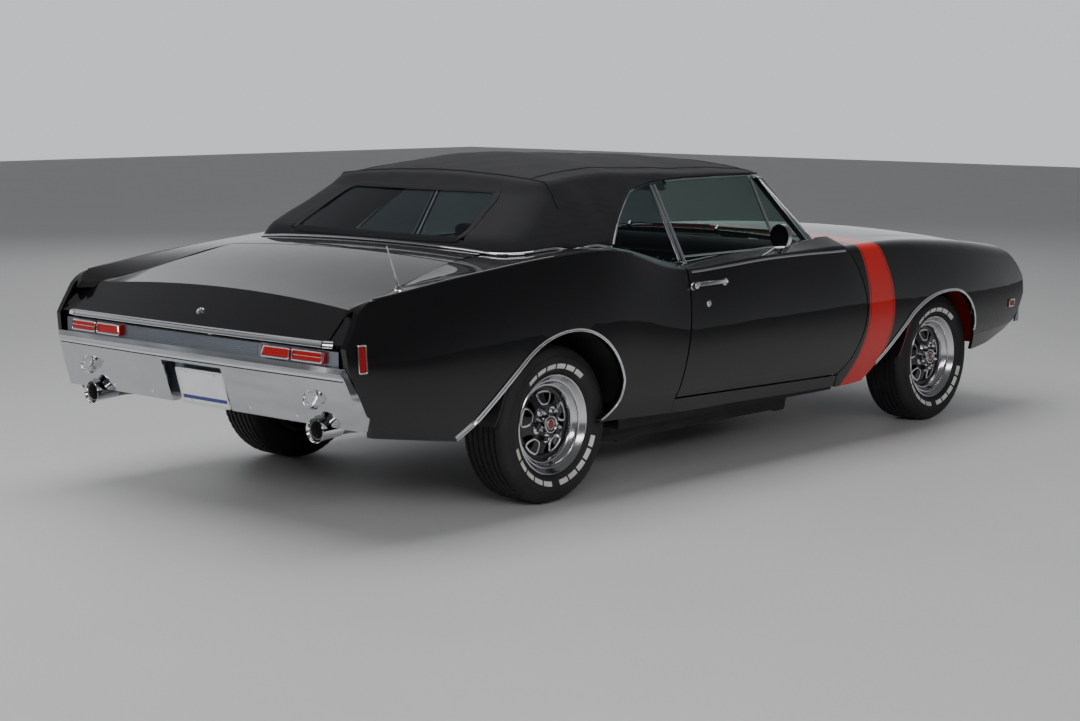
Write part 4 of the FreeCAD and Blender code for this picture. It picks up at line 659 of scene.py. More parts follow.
DOUBLE_BAR = [(-0.5, -0.25), (-0.5, 0.75), (-0.32, 1.0), (-0.12, 0.85), (0.0, 0.3), (0.12, 0.85),
              (0.32, 1.0), (0.5, 0.75), (0.5, -0.25)]
print("shape kit ready")

# %% [markdown]
# ## Wheel-opening mouldings
# A bright strip follows each wheel opening: thin round the front of the arch and wide,
# with two ridges, along the long raked edge behind the wheel. The openings are a chain of
# short straights and arcs in the side view, the same chain that the panel was cut with,
# so the strip follows it a few millimetres outside the cut, with each point dropped onto
# the panel by a ray. The width of the strip changes along the path, so its section is
# scaled from point to point.

# %% Wheel-opening mouldings
REAR_AXLE_X = pivots["rear_left_spin"].x
MM = 0.001


def opening_line(axle_x, steps):
    """Side-view points of a wheel opening from offsets in mm; a list is an arc's middle and end."""
    line = []
    for step in steps:
        points = [(axle_x + x * MM, AXLE_Z + z * MM) for x, z in (step if isinstance(step, list) else [step])]
        line += arc(line[-1], *points, 14) if len(points) == 2 else points
    return line


def stepped(start, end, count):
    """count + 1 even steps from one point to another, as tuples."""
    return [tuple(a + (b - a) * k / count for a, b in zip(start, end)) for k in range(count + 1)]


def evened(line, gap):
    """The same line with points about one gap apart."""
    result = [line[0]]
    for a, b in zip(line, line[1:]):
        result += stepped(a, b, max(1, round(math.dist(a, b) / gap)))[1:]
    return result


REAR_OPENING = opening_line(REAR_AXLE_X, [
    (205, -60), (222, 4), [(302, 78), (320, 159)], [(217, 313), (29, 386)],
    [(-150, 356), (-283, 276)], (-567, 43), (-700, -62)])
FRONT_OPENING = opening_line(FRONT_AXLE_X, [
    (254, -30), (254, 8), [(259, 80), (256, 150)], [(190, 268), (8, 339)],
    [(-186, 316), (-347, 246)], (-620, 30)])


def strip(line, skin, hand, offset, widths, height):
    """Moulding along a side-view line, offset outward of it and lying on the skin."""
    path, outs, sizes = [], [], []
    count = len(line)
    for i, (x, z) in enumerate(line):
        before, after = line[max(i - 1, 0)], line[min(i + 1, count - 1)]
        dx, dz = after[0] - before[0], after[1] - before[1]
        long = math.hypot(dx, dz)
        wide = widths(i / (count - 1))
        reach = offset + wide / 2
        hit = skin.side(x + dz / long * reach, z - dx / long * reach, hand)
        if hit is None:
            continue
        path.append(hit[0])
        outs.append(hit[1])
        sizes.append(wide)
    rings = []
    for i, here in enumerate(path):
        ahead = (path[min(i + 1, len(path) - 1)] - path[max(i - 1, 0)]).normalized()
        across = outs[i].cross(ahead).normalized()
        rings.append([here + across * a * sizes[i] + outs[i] * o * height for a, o in DOUBLE_BAR])
    return Shape().rings(rings)


def between(low, high, start, end):
    """Width that goes smoothly from low to high between two shares of the path."""
    def width(share):
        t = min(max((share - start) / (end - start), 0.0), 1.0)
        return low + (high - low) * t * t * (3 - 2 * t)
    return width


TRIM_OFFSET, TRIM_HEIGHT, TRIM_GAP = -0.003, 0.005, 0.02
widening = between(0.012, 0.023, 0.45, 0.72)
for side, hand in SIDES:
    side_skin = Skin(f"quarter_panel_{side}", f"fender_{side}", f"door_{side}", "rockers")
    for place, opening in (("rear", REAR_OPENING), ("front", FRONT_OPENING)):
        trim = strip(evened(opening, TRIM_GAP), side_skin, hand, TRIM_OFFSET, widening, TRIM_HEIGHT)
        trim.make(f"arch_trim_{place}_{side}", "body", chrome)
print("four wheel-opening mouldings")

# %% [markdown]
# ## Tyres
# A tyre is a turned shape: the sidewall bulges past the rim, the shoulder is round and
# the tread is nearly flat with grooves running round it. Turning a plain outline gives
# only the grooves; the short cross cuts are made by lowering the radius as the outline
# goes round, in one step out of four at the shoulders and out of six across the blocks.
# The raised white bars stand one and a half millimetres proud of the outer sidewall.

# %% Tyre outline
SIDEWALL = [(0.2052, 0.0900), (0.2070, 0.0955), (0.2120, 0.1000), (0.2200, 0.1060), (0.2330, 0.1125),
            (0.2480, 0.1165), (0.2620, 0.1172), (0.2750, 0.1150), (0.2860, 0.1105), (0.2955, 0.1060)]
GROOVES = [0.072, 0.044, 0.015, -0.015, -0.044, -0.072]
TREAD_R, TREAD_CROWN, GROOVE_DEPTH = 0.3195, 0.20, 0.0075
ROUND_STEPS = 240
HUB, AXLE_WAY = (0, 0, 0), (0, 1, 0)
SHOULDER_START, SHOULDER_CUT, BLOCK_CUT = 0.306, 0.0045, 0.0028


def along_line(line, at):
    """Second value of a line of pairs where the first value is at."""
    for (r0, y0), (r1, y1) in zip(line, line[1:]):
        if r0 <= at <= r1:
            return y0 + (y1 - y0) * (at - r0) / (r1 - r0)
    return line[0][1] if at < line[0][0] else line[-1][1]


def tyre_outline():
    """(radius, y, kind) from the outer bead round the tread to the inner one."""
    wall = [(r, y, "wall") for r, y in SIDEWALL]
    line = [(0.3050, 0.1015, "shoulder"), (0.3110, 0.0960, "shoulder"), (0.3150, 0.0890, "shoulder")]
    for y in GROOVES:
        crown = TREAD_R - TREAD_CROWN * y * y
        line += [(crown, y + 0.0060, "block"), (crown - GROOVE_DEPTH, y + 0.0035, "groove"),
                 (crown - GROOVE_DEPTH, y - 0.0035, "groove"), (crown, y - 0.0060, "block")]
    return wall + line + [(r, -y, kind) for r, y, kind in reversed(wall + line[:3])]


def tyre_shape():
    outline = tyre_outline()
    rows = []
    for k in range(ROUND_STEPS):
        t = 2 * math.pi * k / ROUND_STEPS
        row = []
        for r, y, kind in outline:
            cut = 0.0
            if kind == "shoulder" and k % 4 == 0 and r > SHOULDER_START:
                cut = SHOULDER_CUT
            if kind == "block" and (k + (2 if y > 0 else 0)) % 6 == 0:
                cut = BLOCK_CUT
            row.append(Vector(((r - cut) * math.sin(t), y, (r - cut) * math.cos(t))))
        rows.append(row)
    return Shape().rings(rows, False, True, False)


def bar_arc(start, end, low, high, proud):
    """Raised bar on the outer sidewall between two angles from the top, in degrees."""
    rows = []
    steps = max(3, round(abs(end - start) / 2.0))
    for k in range(steps + 1):
        t = math.radians(start + (end - start) * k / steps)
        section = [(low, 0.0002), (low + 0.001, proud), ((low + high) / 2, proud),
                   (high - 0.001, proud), (high, 0.0002)]
        rows.append([Vector((r * math.sin(t), along_line(SIDEWALL, r) + p, r * math.cos(t)))
                     for r, p in section])
    return Shape().rings(rows, True)


BAR_PITCH, BAR_LENGTH = 14.0, 11.5
BAR_LOW, BAR_HIGH, BAR_PROUD = 0.2275, 0.2475, 0.0016


def white_bars():
    bars = Shape()
    for start, count in ((-41, 6), (107, 5), (186, 5)):
        for k in range(count):
            first = start + BAR_PITCH * k
            bars.join(bar_arc(first, first + BAR_LENGTH, BAR_LOW, BAR_HIGH, BAR_PROUD))
    return bars


def wall_lines():
    """Fine raised rings near the rim and near the shoulder."""
    lines = Shape()
    for radius in (0.2195, 0.2560, 0.2740, 0.2775):
        y = along_line(SIDEWALL, radius)
        lines.turned([(radius - 0.0012, y - 0.0006), (radius, y + 0.0009), (radius + 0.0012, y - 0.0006)],
                     HUB, AXLE_WAY, 120)
    return lines


# %% [markdown]
# ## Wheels
# The pressed steel wheel is black in the middle, with five windows edged in silver, and a
# deep polished ring is clipped over its flange. The loaded wheel already has the windows
# cut, so it stays and is painted; the ring, the window edgings, the nuts and the centre
# cap are turned or swept and added in front of it.

# %% Wheel pieces
DISC = [(0.0, 0.080), (0.036, 0.060), (0.074, 0.060), (0.078, 0.054), (0.122, 0.044), (0.132, 0.036),
        (0.146, 0.038), (0.150, 0.046)]
TRIM_RING = [(0.2035, 0.0900), (0.2052, 0.0945), (0.2045, 0.0985), (0.2015, 0.1005), (0.1985, 0.0995),
             (0.1960, 0.0965), (0.1925, 0.0925), (0.1800, 0.0800), (0.1770, 0.0795), (0.1745, 0.0780),
             (0.1735, 0.0740), (0.1700, 0.0690), (0.1590, 0.0575), (0.1560, 0.0570), (0.1535, 0.0550),
             (0.1515, 0.0500), (0.1500, 0.0465)]
WINDOW = [(82, -14), (104, -30), (122, -34), (127, 0), (122, 34), (104, 30), (82, 14)]
EDGING = [(0.0005, -0.004), (-0.0005, 0.0018), (-0.0045, 0.0022), (-0.0085, 0.0012), (-0.0095, -0.001)]


def rounded(corners, radius, steps=4):
    """Outline with each corner replaced by a small curve."""
    corners, result = [Vector(p) for p in corners], []
    for before, here, after in zip(corners[-1:] + corners, corners, corners[1:] + corners[:1]):
        first, last = (here + way.normalized() * min(radius, way.length * 0.45)
                       for way in (before - here, after - here))
        for k in range(steps + 1):
            t = k / steps
            result.append(first * (1 - t) ** 2 + here * 2 * t * (1 - t) + last * t * t)
    return result


def window_edges():
    """Silver bead round each of the five windows."""
    edges = Shape()
    outline = rounded([(a * MM, b * MM, 0.0) for a, b in WINDOW], 0.009)
    for n in range(5):
        turned = [Matrix.Rotation(math.radians(72 * n), 3, "Z") @ p for p in outline]
        path = [Vector((p.y, along_line(DISC, p.length) + 0.0006, p.x)) for p in turned]
        edges.sweep(path, EDGING, AXLE_WAY, True)
    return edges


def nut_set():
    """Five acorn nuts, each with six flats, on a silver boss."""
    nuts = Shape()
    for n in range(5):
        t = math.radians(72 * n + 36)
        centre = Vector((0.060 * math.sin(t), 0.058, 0.060 * math.cos(t)))
        nuts.turned([(0.0, 0.003), (0.0175, 0.0030), (0.0185, 0.0015), (0.0185, -0.001)],
                    centre, AXLE_WAY, 24)
        nuts.turned([(0.0100, 0.002), (0.0100, 0.020), (0.0085, 0.0235), (0.0070, 0.026), (0.0045, 0.0315),
                     (0.0, 0.0335)], centre, AXLE_WAY, 6)
    return nuts


def cap_shapes():
    ring = Shape().turned([(0.0360, 0.058), (0.0360, 0.0850), (0.0345, 0.0880), (0.0315, 0.0885),
                           (0.0290, 0.0870), (0.0285, 0.0840)], HUB, AXLE_WAY, 48)
    ring.turned([(0.0215, 0.0850), (0.0205, 0.0872), (0.0190, 0.0872), (0.0180, 0.0855)],
                HUB, AXLE_WAY, 40)
    dome = Shape().turned([(0.0288, 0.0838), (0.0200, 0.0856), (0.0100, 0.0866), (0.0, 0.0869)],
                          HUB, AXLE_WAY, 40)
    return ring, dome


# %% Four dressed wheels
cap, dome = cap_shapes()
tyre = tyre_shape()
dressing = [(white_bars(), "tyre", "bars", white_rubber, 50),
            (wall_lines(), "tyre", "lines", tyre_rubber, 35),
            (Shape().turned(TRIM_RING, HUB, AXLE_WAY, 96), "rim", "ring", polished, 25),
            (window_edges(), "rim", "edges", polished, 35), (nut_set(), "rim", "nuts", chrome, 35),
            (cap, "rim", "cap", chrome, 35), (dome, "rim", "dome", ruby, 35)]
for place in ("front", "rear"):
    for side, hand in SIDES:
        seat = Matrix.Translation(pivots[f"{place}_{side}_spin"]) @ Matrix.Scale(hand, 4, AXLE_WAY)
        body = f"wheel_{place}_{side}"
        rubber = tyre.moved(seat).make(f"tyre_{place}_{side}_tread", body, tyre_rubber)
        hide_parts(f"tyre_{place}_{side}")
        for shape, part, name, look, sharp in dressing:
            shape.moved(seat).make(f"{part}_{place}_{side}_{name}", body, look, sharp)
        coat(wheel_black, f"rim_{place}_{side}")
        coat(tyre_rubber, f"tyre_{place}_{side}")
print(len(tyre.faces) * 2, "triangles in each tyre")

# %% [markdown]
# ## Belt line, handles and side fittings
# A bright moulding runs along the shoulder of each door and swings with it, and a fine
# painted bead sharpens the crest of each quarter behind it. The door handle is a thin
# bright blade with a round push button at its rear end, and a round lock sits below it.
# Everything finds its place on the skin with a ray.

# %% Belt mouldings
SHOULDER = [(-2.300, 0.868, 0.903), (-1.960, 0.884, 0.946), (-1.700, 0.890, 0.973), (-1.450, 0.893, 0.995),
            (-1.192, 0.897, 1.009), (-1.016, 0.898, 1.006), (-0.874, 0.896, 0.985), (-0.674, 0.892, 0.926),
            (-0.508, 0.889, 0.897), (-0.252, 0.887, 0.904), (0.045, 0.885, 0.917), (0.357, 0.884, 0.920),
            (0.560, 0.883, 0.918)]


def ridge(foot, low, shoulder, high, crown):
    """Five-cornered section with a rounded back."""
    return [(-foot, low), (-shoulder, high), (0.0, crown), (shoulder, high), (foot, low)]


def shoulder_hits(start, end, count, drop, skin, hand):
    """Hits on the skin along the shoulder line, lowered by drop."""
    curve = curve_through(SHOULDER, 240)
    hits = []
    for k in range(count + 1):
        x = start + (end - start) * k / count
        near = min(curve, key=lambda p: abs(p.x - x))
        hit = skin.side(x, near.z - drop, hand)
        if hit and abs(hit[0].y) > 0.7:
            hits.append(hit)
    return hits


crest_hits = [Skin("quarter_panel_left").side(p.x, p.z - 0.004) for p in curve_through(SHOULDER[:7], 90)]
crest = [hit[0] + Vector((0, -0.0015, 0.0015)) for hit in crest_hits if hit]
Shape().tube(crest, 0.0042).pair().make("shoulder_crease_beads", "body", black_enamel)
door_skin = {1: Skin("door_left"), -1: Skin("door_right")}
for side, hand in SIDES:
    hits = shoulder_hits(-0.484, 0.676, 60, 0.014, door_skin[hand], hand)
    belt = Shape().lay(hits, ridge(0.006, -0.002, 0.005, 0.004, 0.0055))
    belt.make(f"belt_trim_{side}", f"door_{side}", chrome)


# %% Handles and locks
BLADE_X, BLADE_Z, BLADE_LONG, BLADE_LIFT = -0.262, 0.826, 0.214, 0.022


def door_fittings(hand):
    skin = door_skin[hand]
    fittings = Shape()
    blade = []
    for k in range(17):
        place, facing = skin.side(BLADE_X - BLADE_LONG * k / 16, BLADE_Z, hand)
        lift = BLADE_LIFT * math.sin(math.pi * min((k + 0.5) / 16, 1.0)) ** 0.5
        blade.append(place + facing * lift)
    fittings.sweep(blade, [(-0.0095, -0.001), (-0.0070, 0.0030), (0.0, 0.0045), (0.0070, 0.0030),
                           (0.0095, -0.001), (0.0, -0.0025)], (0, hand, 0.25))
    for x, z, radius, reach in ((-0.494, 0.822, 0.0155, 0.026), (-0.272, 0.826, 0.0140, 0.006),
                                (-0.408, 0.744, 0.0125, 0.006)):
        hit = skin.side(x, z, hand)
        fittings.turned([(radius * 1.25, -0.003), (radius * 1.2, 0.003), (radius, 0.005),
                         (radius, reach - 0.002), (radius * 0.85, reach), (0.0, reach + 0.0005)], *hit, 28)
    return fittings


for side, hand in SIDES:
    door_fittings(hand).make(f"door_handle_{side}", f"door_{side}", chrome)
print("door fittings")


# %% Side glass frames
GLASS_FOOT_Y, GLASS_FOOT_Z, GLASS_SLOPE = 0.8035, 0.942, 0.59


def glass_bar(points, width, height):
    """Bright bar lying on the outside of the side glass, which leans in towards the top."""
    path = [(x, GLASS_FOOT_Y - GLASS_SLOPE * (z - GLASS_FOOT_Z) + 0.004, z) for x, z in points]
    return Shape().sweep(path, bead(width, height), Vector((0, 1, GLASS_SLOPE)).normalized())


DOOR_BARS = [([(-0.440, 0.905), (-0.421, 1.238)], 0.016, 0.007),
             ([(0.249, 0.905), (0.278, 1.240)], 0.014, 0.007),
             ([(-0.440, 0.938), (0.560, 0.938)], 0.012, 0.006),
             ([(0.556, 0.945), (0.345, 1.238)], 0.010, 0.006)]
QUARTER_BARS = [([(-0.469, 0.925), (-0.446, 1.236)], 0.016, 0.007),
                ([(-0.850, 1.010), (-0.748, 1.112), (-0.620, 1.212)], 0.012, 0.006)]
for side, hand in SIDES:
    for group, rider, name in ((DOOR_BARS, f"door_{side}", "door_glass_frame"),
                               (QUARTER_BARS, "body", "quarter_glass_frame")):
        frame_bars = Shape()
        for bar in group:
            frame_bars.join(glass_bar(*bar))
        if hand < 0:
            frame_bars = frame_bars.mirrored()
        frame_bars.make(f"{name}_{side}", rider, chrome)
print("glass frames")

# %% [markdown]
# ## The soft top
# The cloth is stretched over a folding frame: tight along the rails, slightly hollow
# between the bows, and sewn where its panels meet. It is one continuous curved sheet, so
# it is laid as a grid on the outline of the raised top: ahead of the quarter window the
# grid runs round the roof from rail to rail, and behind it fans round the back. Each
# point is found by a ray sent in towards the middle of the cabin. The cloth then sinks a
# few millimetres between the bows and gets the thickness of real top cloth.

# %% Laying the cloth
top_skin = Skin("soft_top", "rear_window")
SIDE_RAIL = [(-0.869, 1.007), (-0.756, 1.112), (-0.603, 1.220), (-0.567, 1.229), (-0.428, 1.251),
             (-0.199, 1.261), (0.341, 1.262), (0.500, 1.262)]
TURN_X = -0.869
MID_Z = 0.93
BOWS = [0.40, 0.04, -0.33, -0.72, -1.093]
REAR_BOW_X = -1.093
WINDOW_TOP_Z, WINDOW_FOOT_Z, WINDOW_TOP_Y, WINDOW_FOOT_Y = 1.228, 1.055, 0.445, 0.508


def inward(middle, way):
    """Where a ray sent from outside back towards a point meets the cloth."""
    return top_skin.toward(middle + way * BESIDE, -way)


def roof_ray(x, angle, height=MID_Z):
    """Cloth at one angle round the roof; 0 is the left, half a turn the right."""
    return inward(Vector((x, 0, height)), Vector((0, math.cos(angle), math.sin(angle))))


def lowest(cast, low, high):
    """Angle where a ray first meets the cloth, between a miss and a hit."""
    for _ in range(22):
        middle = (low + high) / 2
        if cast(middle):
            high = middle
        else:
            low = middle
    return high


def rail_angle(x):
    """Angle of the cloth's edge over the side glass."""
    z = along_line(SIDE_RAIL, x) + 0.002
    hit = top_skin.side(x, z, 1)
    y = hit[0].y if hit else 0.64
    return math.atan2(z - MID_Z, y)


def front_x(angle):
    """Front edge of the cloth at one angle."""
    return -lowest(lambda back: roof_ray(-back, angle), -0.47, -0.30)


def mend(line, way):
    """Fill each gap in a line of points with its nearest neighbour, looking one way first."""
    last = len(line) - 1
    for i, p in enumerate(line):
        if p is None:
            near = (line[min(max(i + s * d, 0), last)] for d in range(1, last) for s in (way, -way))
            line[i] = next(q for q in near if q).copy()


ROOF_ROWS, ROOF_STEPS, BACK_ROWS, BACK_STEPS = 96, 120, 120, 60
foot = rail_angle(TURN_X)
front_rail = rail_angle(0.40)
front_edge = [front_x(front_rail + (math.pi - 2 * front_rail) * min(max(i / ROOF_STEPS, 0.015), 0.985))
              for i in range(ROOF_STEPS + 1)]
rows = []
for j in range(ROOF_ROWS + 1):
    row = []
    for i in range(ROOF_STEPS + 1):
        share = i / ROOF_STEPS
        x = TURN_X + (front_edge[i] - 0.0006 - TURN_X) * j / ROOF_ROWS
        edge = rail_angle(x)
        hit = roof_ray(x, edge + (math.pi - 2 * edge) * share)
        row.append(hit[0] if hit else None)
    rows.append(row)
missing = sum(p is None for row in rows for p in row)
for row in rows:
    mend(row, -1)
print("roof grid", len(rows), "by", len(rows[0]), "with", missing, "mended points")


# %% The back of the cloth
def back_ray(round_angle, lift):
    """Cloth behind the turn: round_angle from the left round the back to the right."""
    flat = Vector((-math.sin(round_angle), math.cos(round_angle), 0))
    way = flat * math.cos(lift) + Vector((0, 0, math.sin(lift)))
    return inward(Vector((TURN_X, 0, MID_Z)), way)


fan = []
for i in range(BACK_ROWS + 1):
    around = math.pi * i / BACK_ROWS
    if i in (0, BACK_ROWS):
        start = foot
    else:
        start = lowest(lambda lift: back_ray(around, lift), -0.05, 0.45) + 0.0008
    column = []
    for k in range(BACK_STEPS + 1):
        lift = start + (math.pi / 2 - start) * k / BACK_STEPS
        hit = back_ray(around, lift)
        column.append(hit[0] if hit else None)
    mend(column, 1)
    if i == 0:
        column = [p.copy() for p in rows[0][:BACK_STEPS + 1]]
    if i == BACK_ROWS:
        column = [p.copy() for p in reversed(rows[0][BACK_STEPS:])]
    column[-1] = rows[0][BACK_STEPS].copy()
    fan.append(column)
print("back fan", len(fan), "by", len(fan[0]))


# %% Sag and folds
BOW_SAG, SLACK, FOLD_RISE, FOLD_DIP = 0.0055, 0.0012, 0.0045, 0.0035


def cloth_sag(p):
    """How far the cloth sinks at a point, in metres."""
    high = min(max((p.z - 1.20) / 0.10, 0.0), 1.0)
    sink = 0.0
    for ahead, behind in zip(BOWS, BOWS[1:]):
        if behind < p.x < ahead:
            share = (p.x - behind) / (ahead - behind)
            sink = BOW_SAG * math.sin(math.pi * share) ** 1.3 * high
    slack = SLACK * math.sin(p.x * 31.0 + p.y * 9.0) * math.sin(p.y * 23.0 + 1.3)
    for hand in (1, -1):
        start, end = Vector((-1.08, 0.60 * hand, 1.26)), Vector((-1.36, 0.66 * hand, 1.03))
        along = end - start
        t = min(max((p - start).dot(along) / along.length_squared, 0.0), 1.0)
        gap = (p - start - along * t).length
        fades = math.sin(math.pi * min(t + 0.15, 1.0))
        sink -= FOLD_RISE * math.exp(-(gap / 0.022) ** 2) * fades
        sink += FOLD_DIP * math.exp(-((gap - 0.055) / 0.03) ** 2) * fades
    return sink + slack


def in_window(p):
    """Whether a point lies in the rear window's opening."""
    if p.x > -1.12 or not WINDOW_FOOT_Z < p.z < WINDOW_TOP_Z:
        return False
    share = (p.z - WINDOW_FOOT_Z) / (WINDOW_TOP_Z - WINDOW_FOOT_Z)
    return abs(p.y) < WINDOW_FOOT_Y + (WINDOW_TOP_Y - WINDOW_FOOT_Y) * share


def sunk(p):
    middle = Vector((min(max(p.x, -0.95), 0.1), 0, MID_Z))
    return p + (middle - p).normalized() * cloth_sag(p)


def thicken(sheet, thickness, offset):
    """Give a thin sheet its thickness; the offset says on which side."""
    solid = sheet.modifiers.new("thickness", "SOLIDIFY")
    solid.thickness, solid.offset = thickness, offset


CLOTH_THICK = 0.0035
cloth = Shape()
cloth.rings([[sunk(p) for p in row] for row in rows], False, False, False)
back = Shape().rings([[sunk(p) for p in column] for column in fan], False, False, False)
back.faces = [f for f in back.faces if not in_window(sum((back.points[i] for i in f), Vector()) / len(f))]
cloth.join(back)
soft_top = cloth.make("soft_top_cloth", "body", top_cloth, sharp=80)
weld = bmesh.new()
weld.from_mesh(soft_top.data)
bmesh.ops.remove_doubles(weld, verts=weld.verts, dist=0.0004)
bmesh.ops.recalc_face_normals(weld, faces=weld.faces)
bmesh.ops.delete(weld, geom=[v for v in weld.verts if not v.link_faces], context="VERTS")
if sum(f.normal.z for f in weld.faces) < 0:
    bmesh.ops.reverse_faces(weld, faces=weld.faces)
cut_area = sum(f.calc_area() for f in weld.faces)
weld.to_mesh(soft_top.data)
weld.free()
thicken(soft_top, CLOTH_THICK, -1.0)
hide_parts("soft_top")
print("cloth area", round(cut_area, 3), "m2")

# %% [markdown]
# ## Seams, bindings and the bright hem
# The deck panel of the top is sewn to its two side panels, a welt crosses the roof over
# the rear bow, and the window curtain is sewn in with a flat binding. Each is a thin
# bead or a flat strip laid on the cloth along a path found by the same rays.


# %% Seams on the cloth
def laid(place_and_facing, lift=0.0):
    place, facing = place_and_facing
    return sunk(place) + facing * lift, facing


def seam(hits, profile):
    return Shape().lay([laid(hit) for hit in hits if hit], profile)


FLAT_BINDING = [(-0.011, -0.002), (-0.0105, 0.0018), (-0.006, 0.0024), (0.006, 0.0024), (0.0105, 0.0018),
                (0.011, -0.002)]
ROUND_WELT = ridge(0.006, -0.001, 0.0045, 0.0030, 0.0045)
FINE_SEAM = [(-0.007, -0.002), (-0.0065, 0.0022), (-0.0012, 0.0030), (0.0, 0.0016), (0.0012, 0.0030),
             (0.0065, 0.0022), (0.007, -0.002)]
seams = Shape()
seams.join(seam([roof_ray(REAR_BOW_X, math.radians(14 + 152 * k / 90), 1.0) for k in range(91)], ROUND_WELT))
for hand in (1, -1):
    deck = [top_skin.top(0.405 - 1.49 * k / 60, 0.515 * hand) for k in range(61)]
    seams.join(seam(deck, FINE_SEAM))
    edge = [top_skin.side(x, along_line(SIDE_RAIL, x) + 0.007, hand)
            for x in (0.335 - (0.335 - TURN_X) * k / 60 for k in range(61))]
    seams.join(seam(edge, ROUND_WELT))
seams.join(seam([top_skin.top(0.395, -0.55 + 1.10 * k / 40) for k in range(41)], FLAT_BINDING))


def densely(outline, gap):
    """Closed outline with points about one gap apart."""
    dense = []
    for a, b in zip(outline, outline[1:] + outline[:1]):
        count = max(1, round((b - a).length / gap))
        dense += [a.lerp(b, k / count) for k in range(count)]
    return dense


def window_ring(grow):
    """Hits round the rear window's outline."""
    top_y, foot_y = WINDOW_TOP_Y + grow, WINDOW_FOOT_Y + grow
    top_z, foot_z = WINDOW_TOP_Z + grow, WINDOW_FOOT_Z - grow
    corners = [(foot_y, foot_z, 0), (top_y, top_z, 0), (-top_y, top_z, 0), (-foot_y, foot_z, 0)]
    outline = densely(rounded(corners, 0.05, 8), 0.025)
    return [top_skin.toward((-3.0, p.x, p.y), (1, 0, 0)) for p in outline]


ring_hits = [laid(hit, 0.0015) for hit in window_ring(0.004) if hit]
seams.lay(ring_hits, [(a * 1.25, b) for a, b in FLAT_BINDING], closed=True)
seams.make("soft_top_seams", "body", top_cloth, sharp=50)

# %% Bright hem moulding
deck_skin = Skin("rear_deck", "quarter_panel_left", "quarter_panel_right")
heights = []
for low, *_ in fan:
    under = deck_skin.top(low.x, low.y)
    heights.append(max(low.z, under[0].z + 0.007 if under else 0.0))
for _ in range(3):
    heights = [sum(near) / len(near) for near in (heights[max(i - 1, 0):i + 2] for i in range(len(heights)))]
hem = []
for column, height in zip(fan, heights):
    low = Vector((column[0].x, column[0].y, height))
    flat = Vector((low.x - TURN_X, low.y, 0)).normalized()
    hem.append((low + flat * 0.004 + Vector((0, 0, -0.001)), (flat + Vector((0, 0, 0.6))).normalized()))
Shape().lay(hem, bead(0.013, 0.0055)).make("soft_top_hem_trim", "body", chrome)
print("seams and hem")

# %% [markdown]
# ## The tail
# The back of the car is where most of the brightwork is. A bright strip crosses the
# lid's lower edge and ends in a small cap on each fin, two red lenses a side sit in thin
# bezels, and between them is a satin panel with fine ribs. The bumper is one deep
# pressing with a pressed line along it and a recess for the plate. All of it is placed
# with rays sent forwards from behind the car.

# %% Rays from behind
bumper_skin, lid_skin, panel_skin = Skin("rear_bumper"), Skin("trunk_lid"), Skin("tail_panel")


def behind(skin, y, z, lift=0.0):
    """Place on the back of the car, lifted off it, and the facing there."""
    hit = skin.toward((-BEYOND, y, z), (1, 0, 0))
    if hit is None:
        return None
    return hit[0] + hit[1] * lift, hit[1]


def along_tail(skin, points, profile, closed=False):
    """Strip laid on the back of the car along (y, z) points."""
    return Shape().lay([behind(skin, y, z) for y, z in points], profile, closed=closed)


def flat_top(foot, low, crown, high):
    """Four-cornered section."""
    return [(-foot, low), (-crown, high), (crown, high), (foot, low)]


def straight_across(skin, half, z, count, profile):
    """Level strip laid from one side of the tail to the other."""
    return along_tail(skin, stepped((half, z), (-half, z), count), profile)


# %% Lid strip with its caps and lock
LID_EDGE_Z = 0.741
STRIP = [(-0.0125, -0.008), (-0.0125, 0.0045), (-0.0105, 0.0065), (-0.007, 0.0048), (0.007, 0.0048),
         (0.0105, 0.0065), (0.0125, 0.0045), (0.0125, -0.014)]
STRIP_FACING = Vector((-1, 0, 0.25))
strip_hits = [behind(lid_skin, y, z) for y, z in stepped((0.752, LID_EDGE_Z), (-0.752, LID_EDGE_Z), 60)]
strip_end = next(hit[0] for hit in strip_hits if hit)
lid_strip = Shape().lay(strip_hits, STRIP, STRIP_FACING)
lid_strip.turned([(0.0165, -0.002), (0.0165, 0.003), (0.0145, 0.0055), (0.0120, 0.0060), (0.0110, 0.0040),
                  (0.0, 0.0045)], *behind(lid_skin, 0.0, 0.800), 32)
lid_strip.make("trunk_lid_trim", "trunk", chrome)
cap_path = [Vector((strip_end.x + 0.004 * k, 0.758 + 0.014 * k, LID_EDGE_Z)) for k in range(4)]
cap = Shape().sweep(cap_path, [(a * 1.12, b * 1.15) for a, b in STRIP], STRIP_FACING)
cap.pair().make("fin_end_caps", "body", chrome)
print("lid strip")

# %% Tail lamp bezels
lamp_skin = Skin("tail_lamps")
BEZEL = [(-0.0040, -0.004), (-0.0034, 0.0022), (0.0, 0.0038), (0.0032, 0.0022), (0.0035, -0.002)]
bezels = Shape()
for low_y, high_y, slant in ((0.4345, 0.5855, 0.012), (0.6025, 0.7595, 0.0)):
    corners = [(low_y, 0.6750, 0), (low_y + slant, 0.7125, 0), (high_y, 0.7125, 0), (high_y, 0.6750, 0)]
    outline = densely(rounded(corners, 0.007), 0.02)
    bezels.join(along_tail(lamp_skin, [(p.x, p.y) for p in outline], BEZEL, True))
bezels.join(along_tail(lamp_skin, stepped((0.606, 0.6935), (0.760, 0.6935), 12),
                       [(a * 0.35, b * 0.35) for a, b in BEZEL]))
bezels.pair().make("tail_lamp_bezels", "body", chrome)

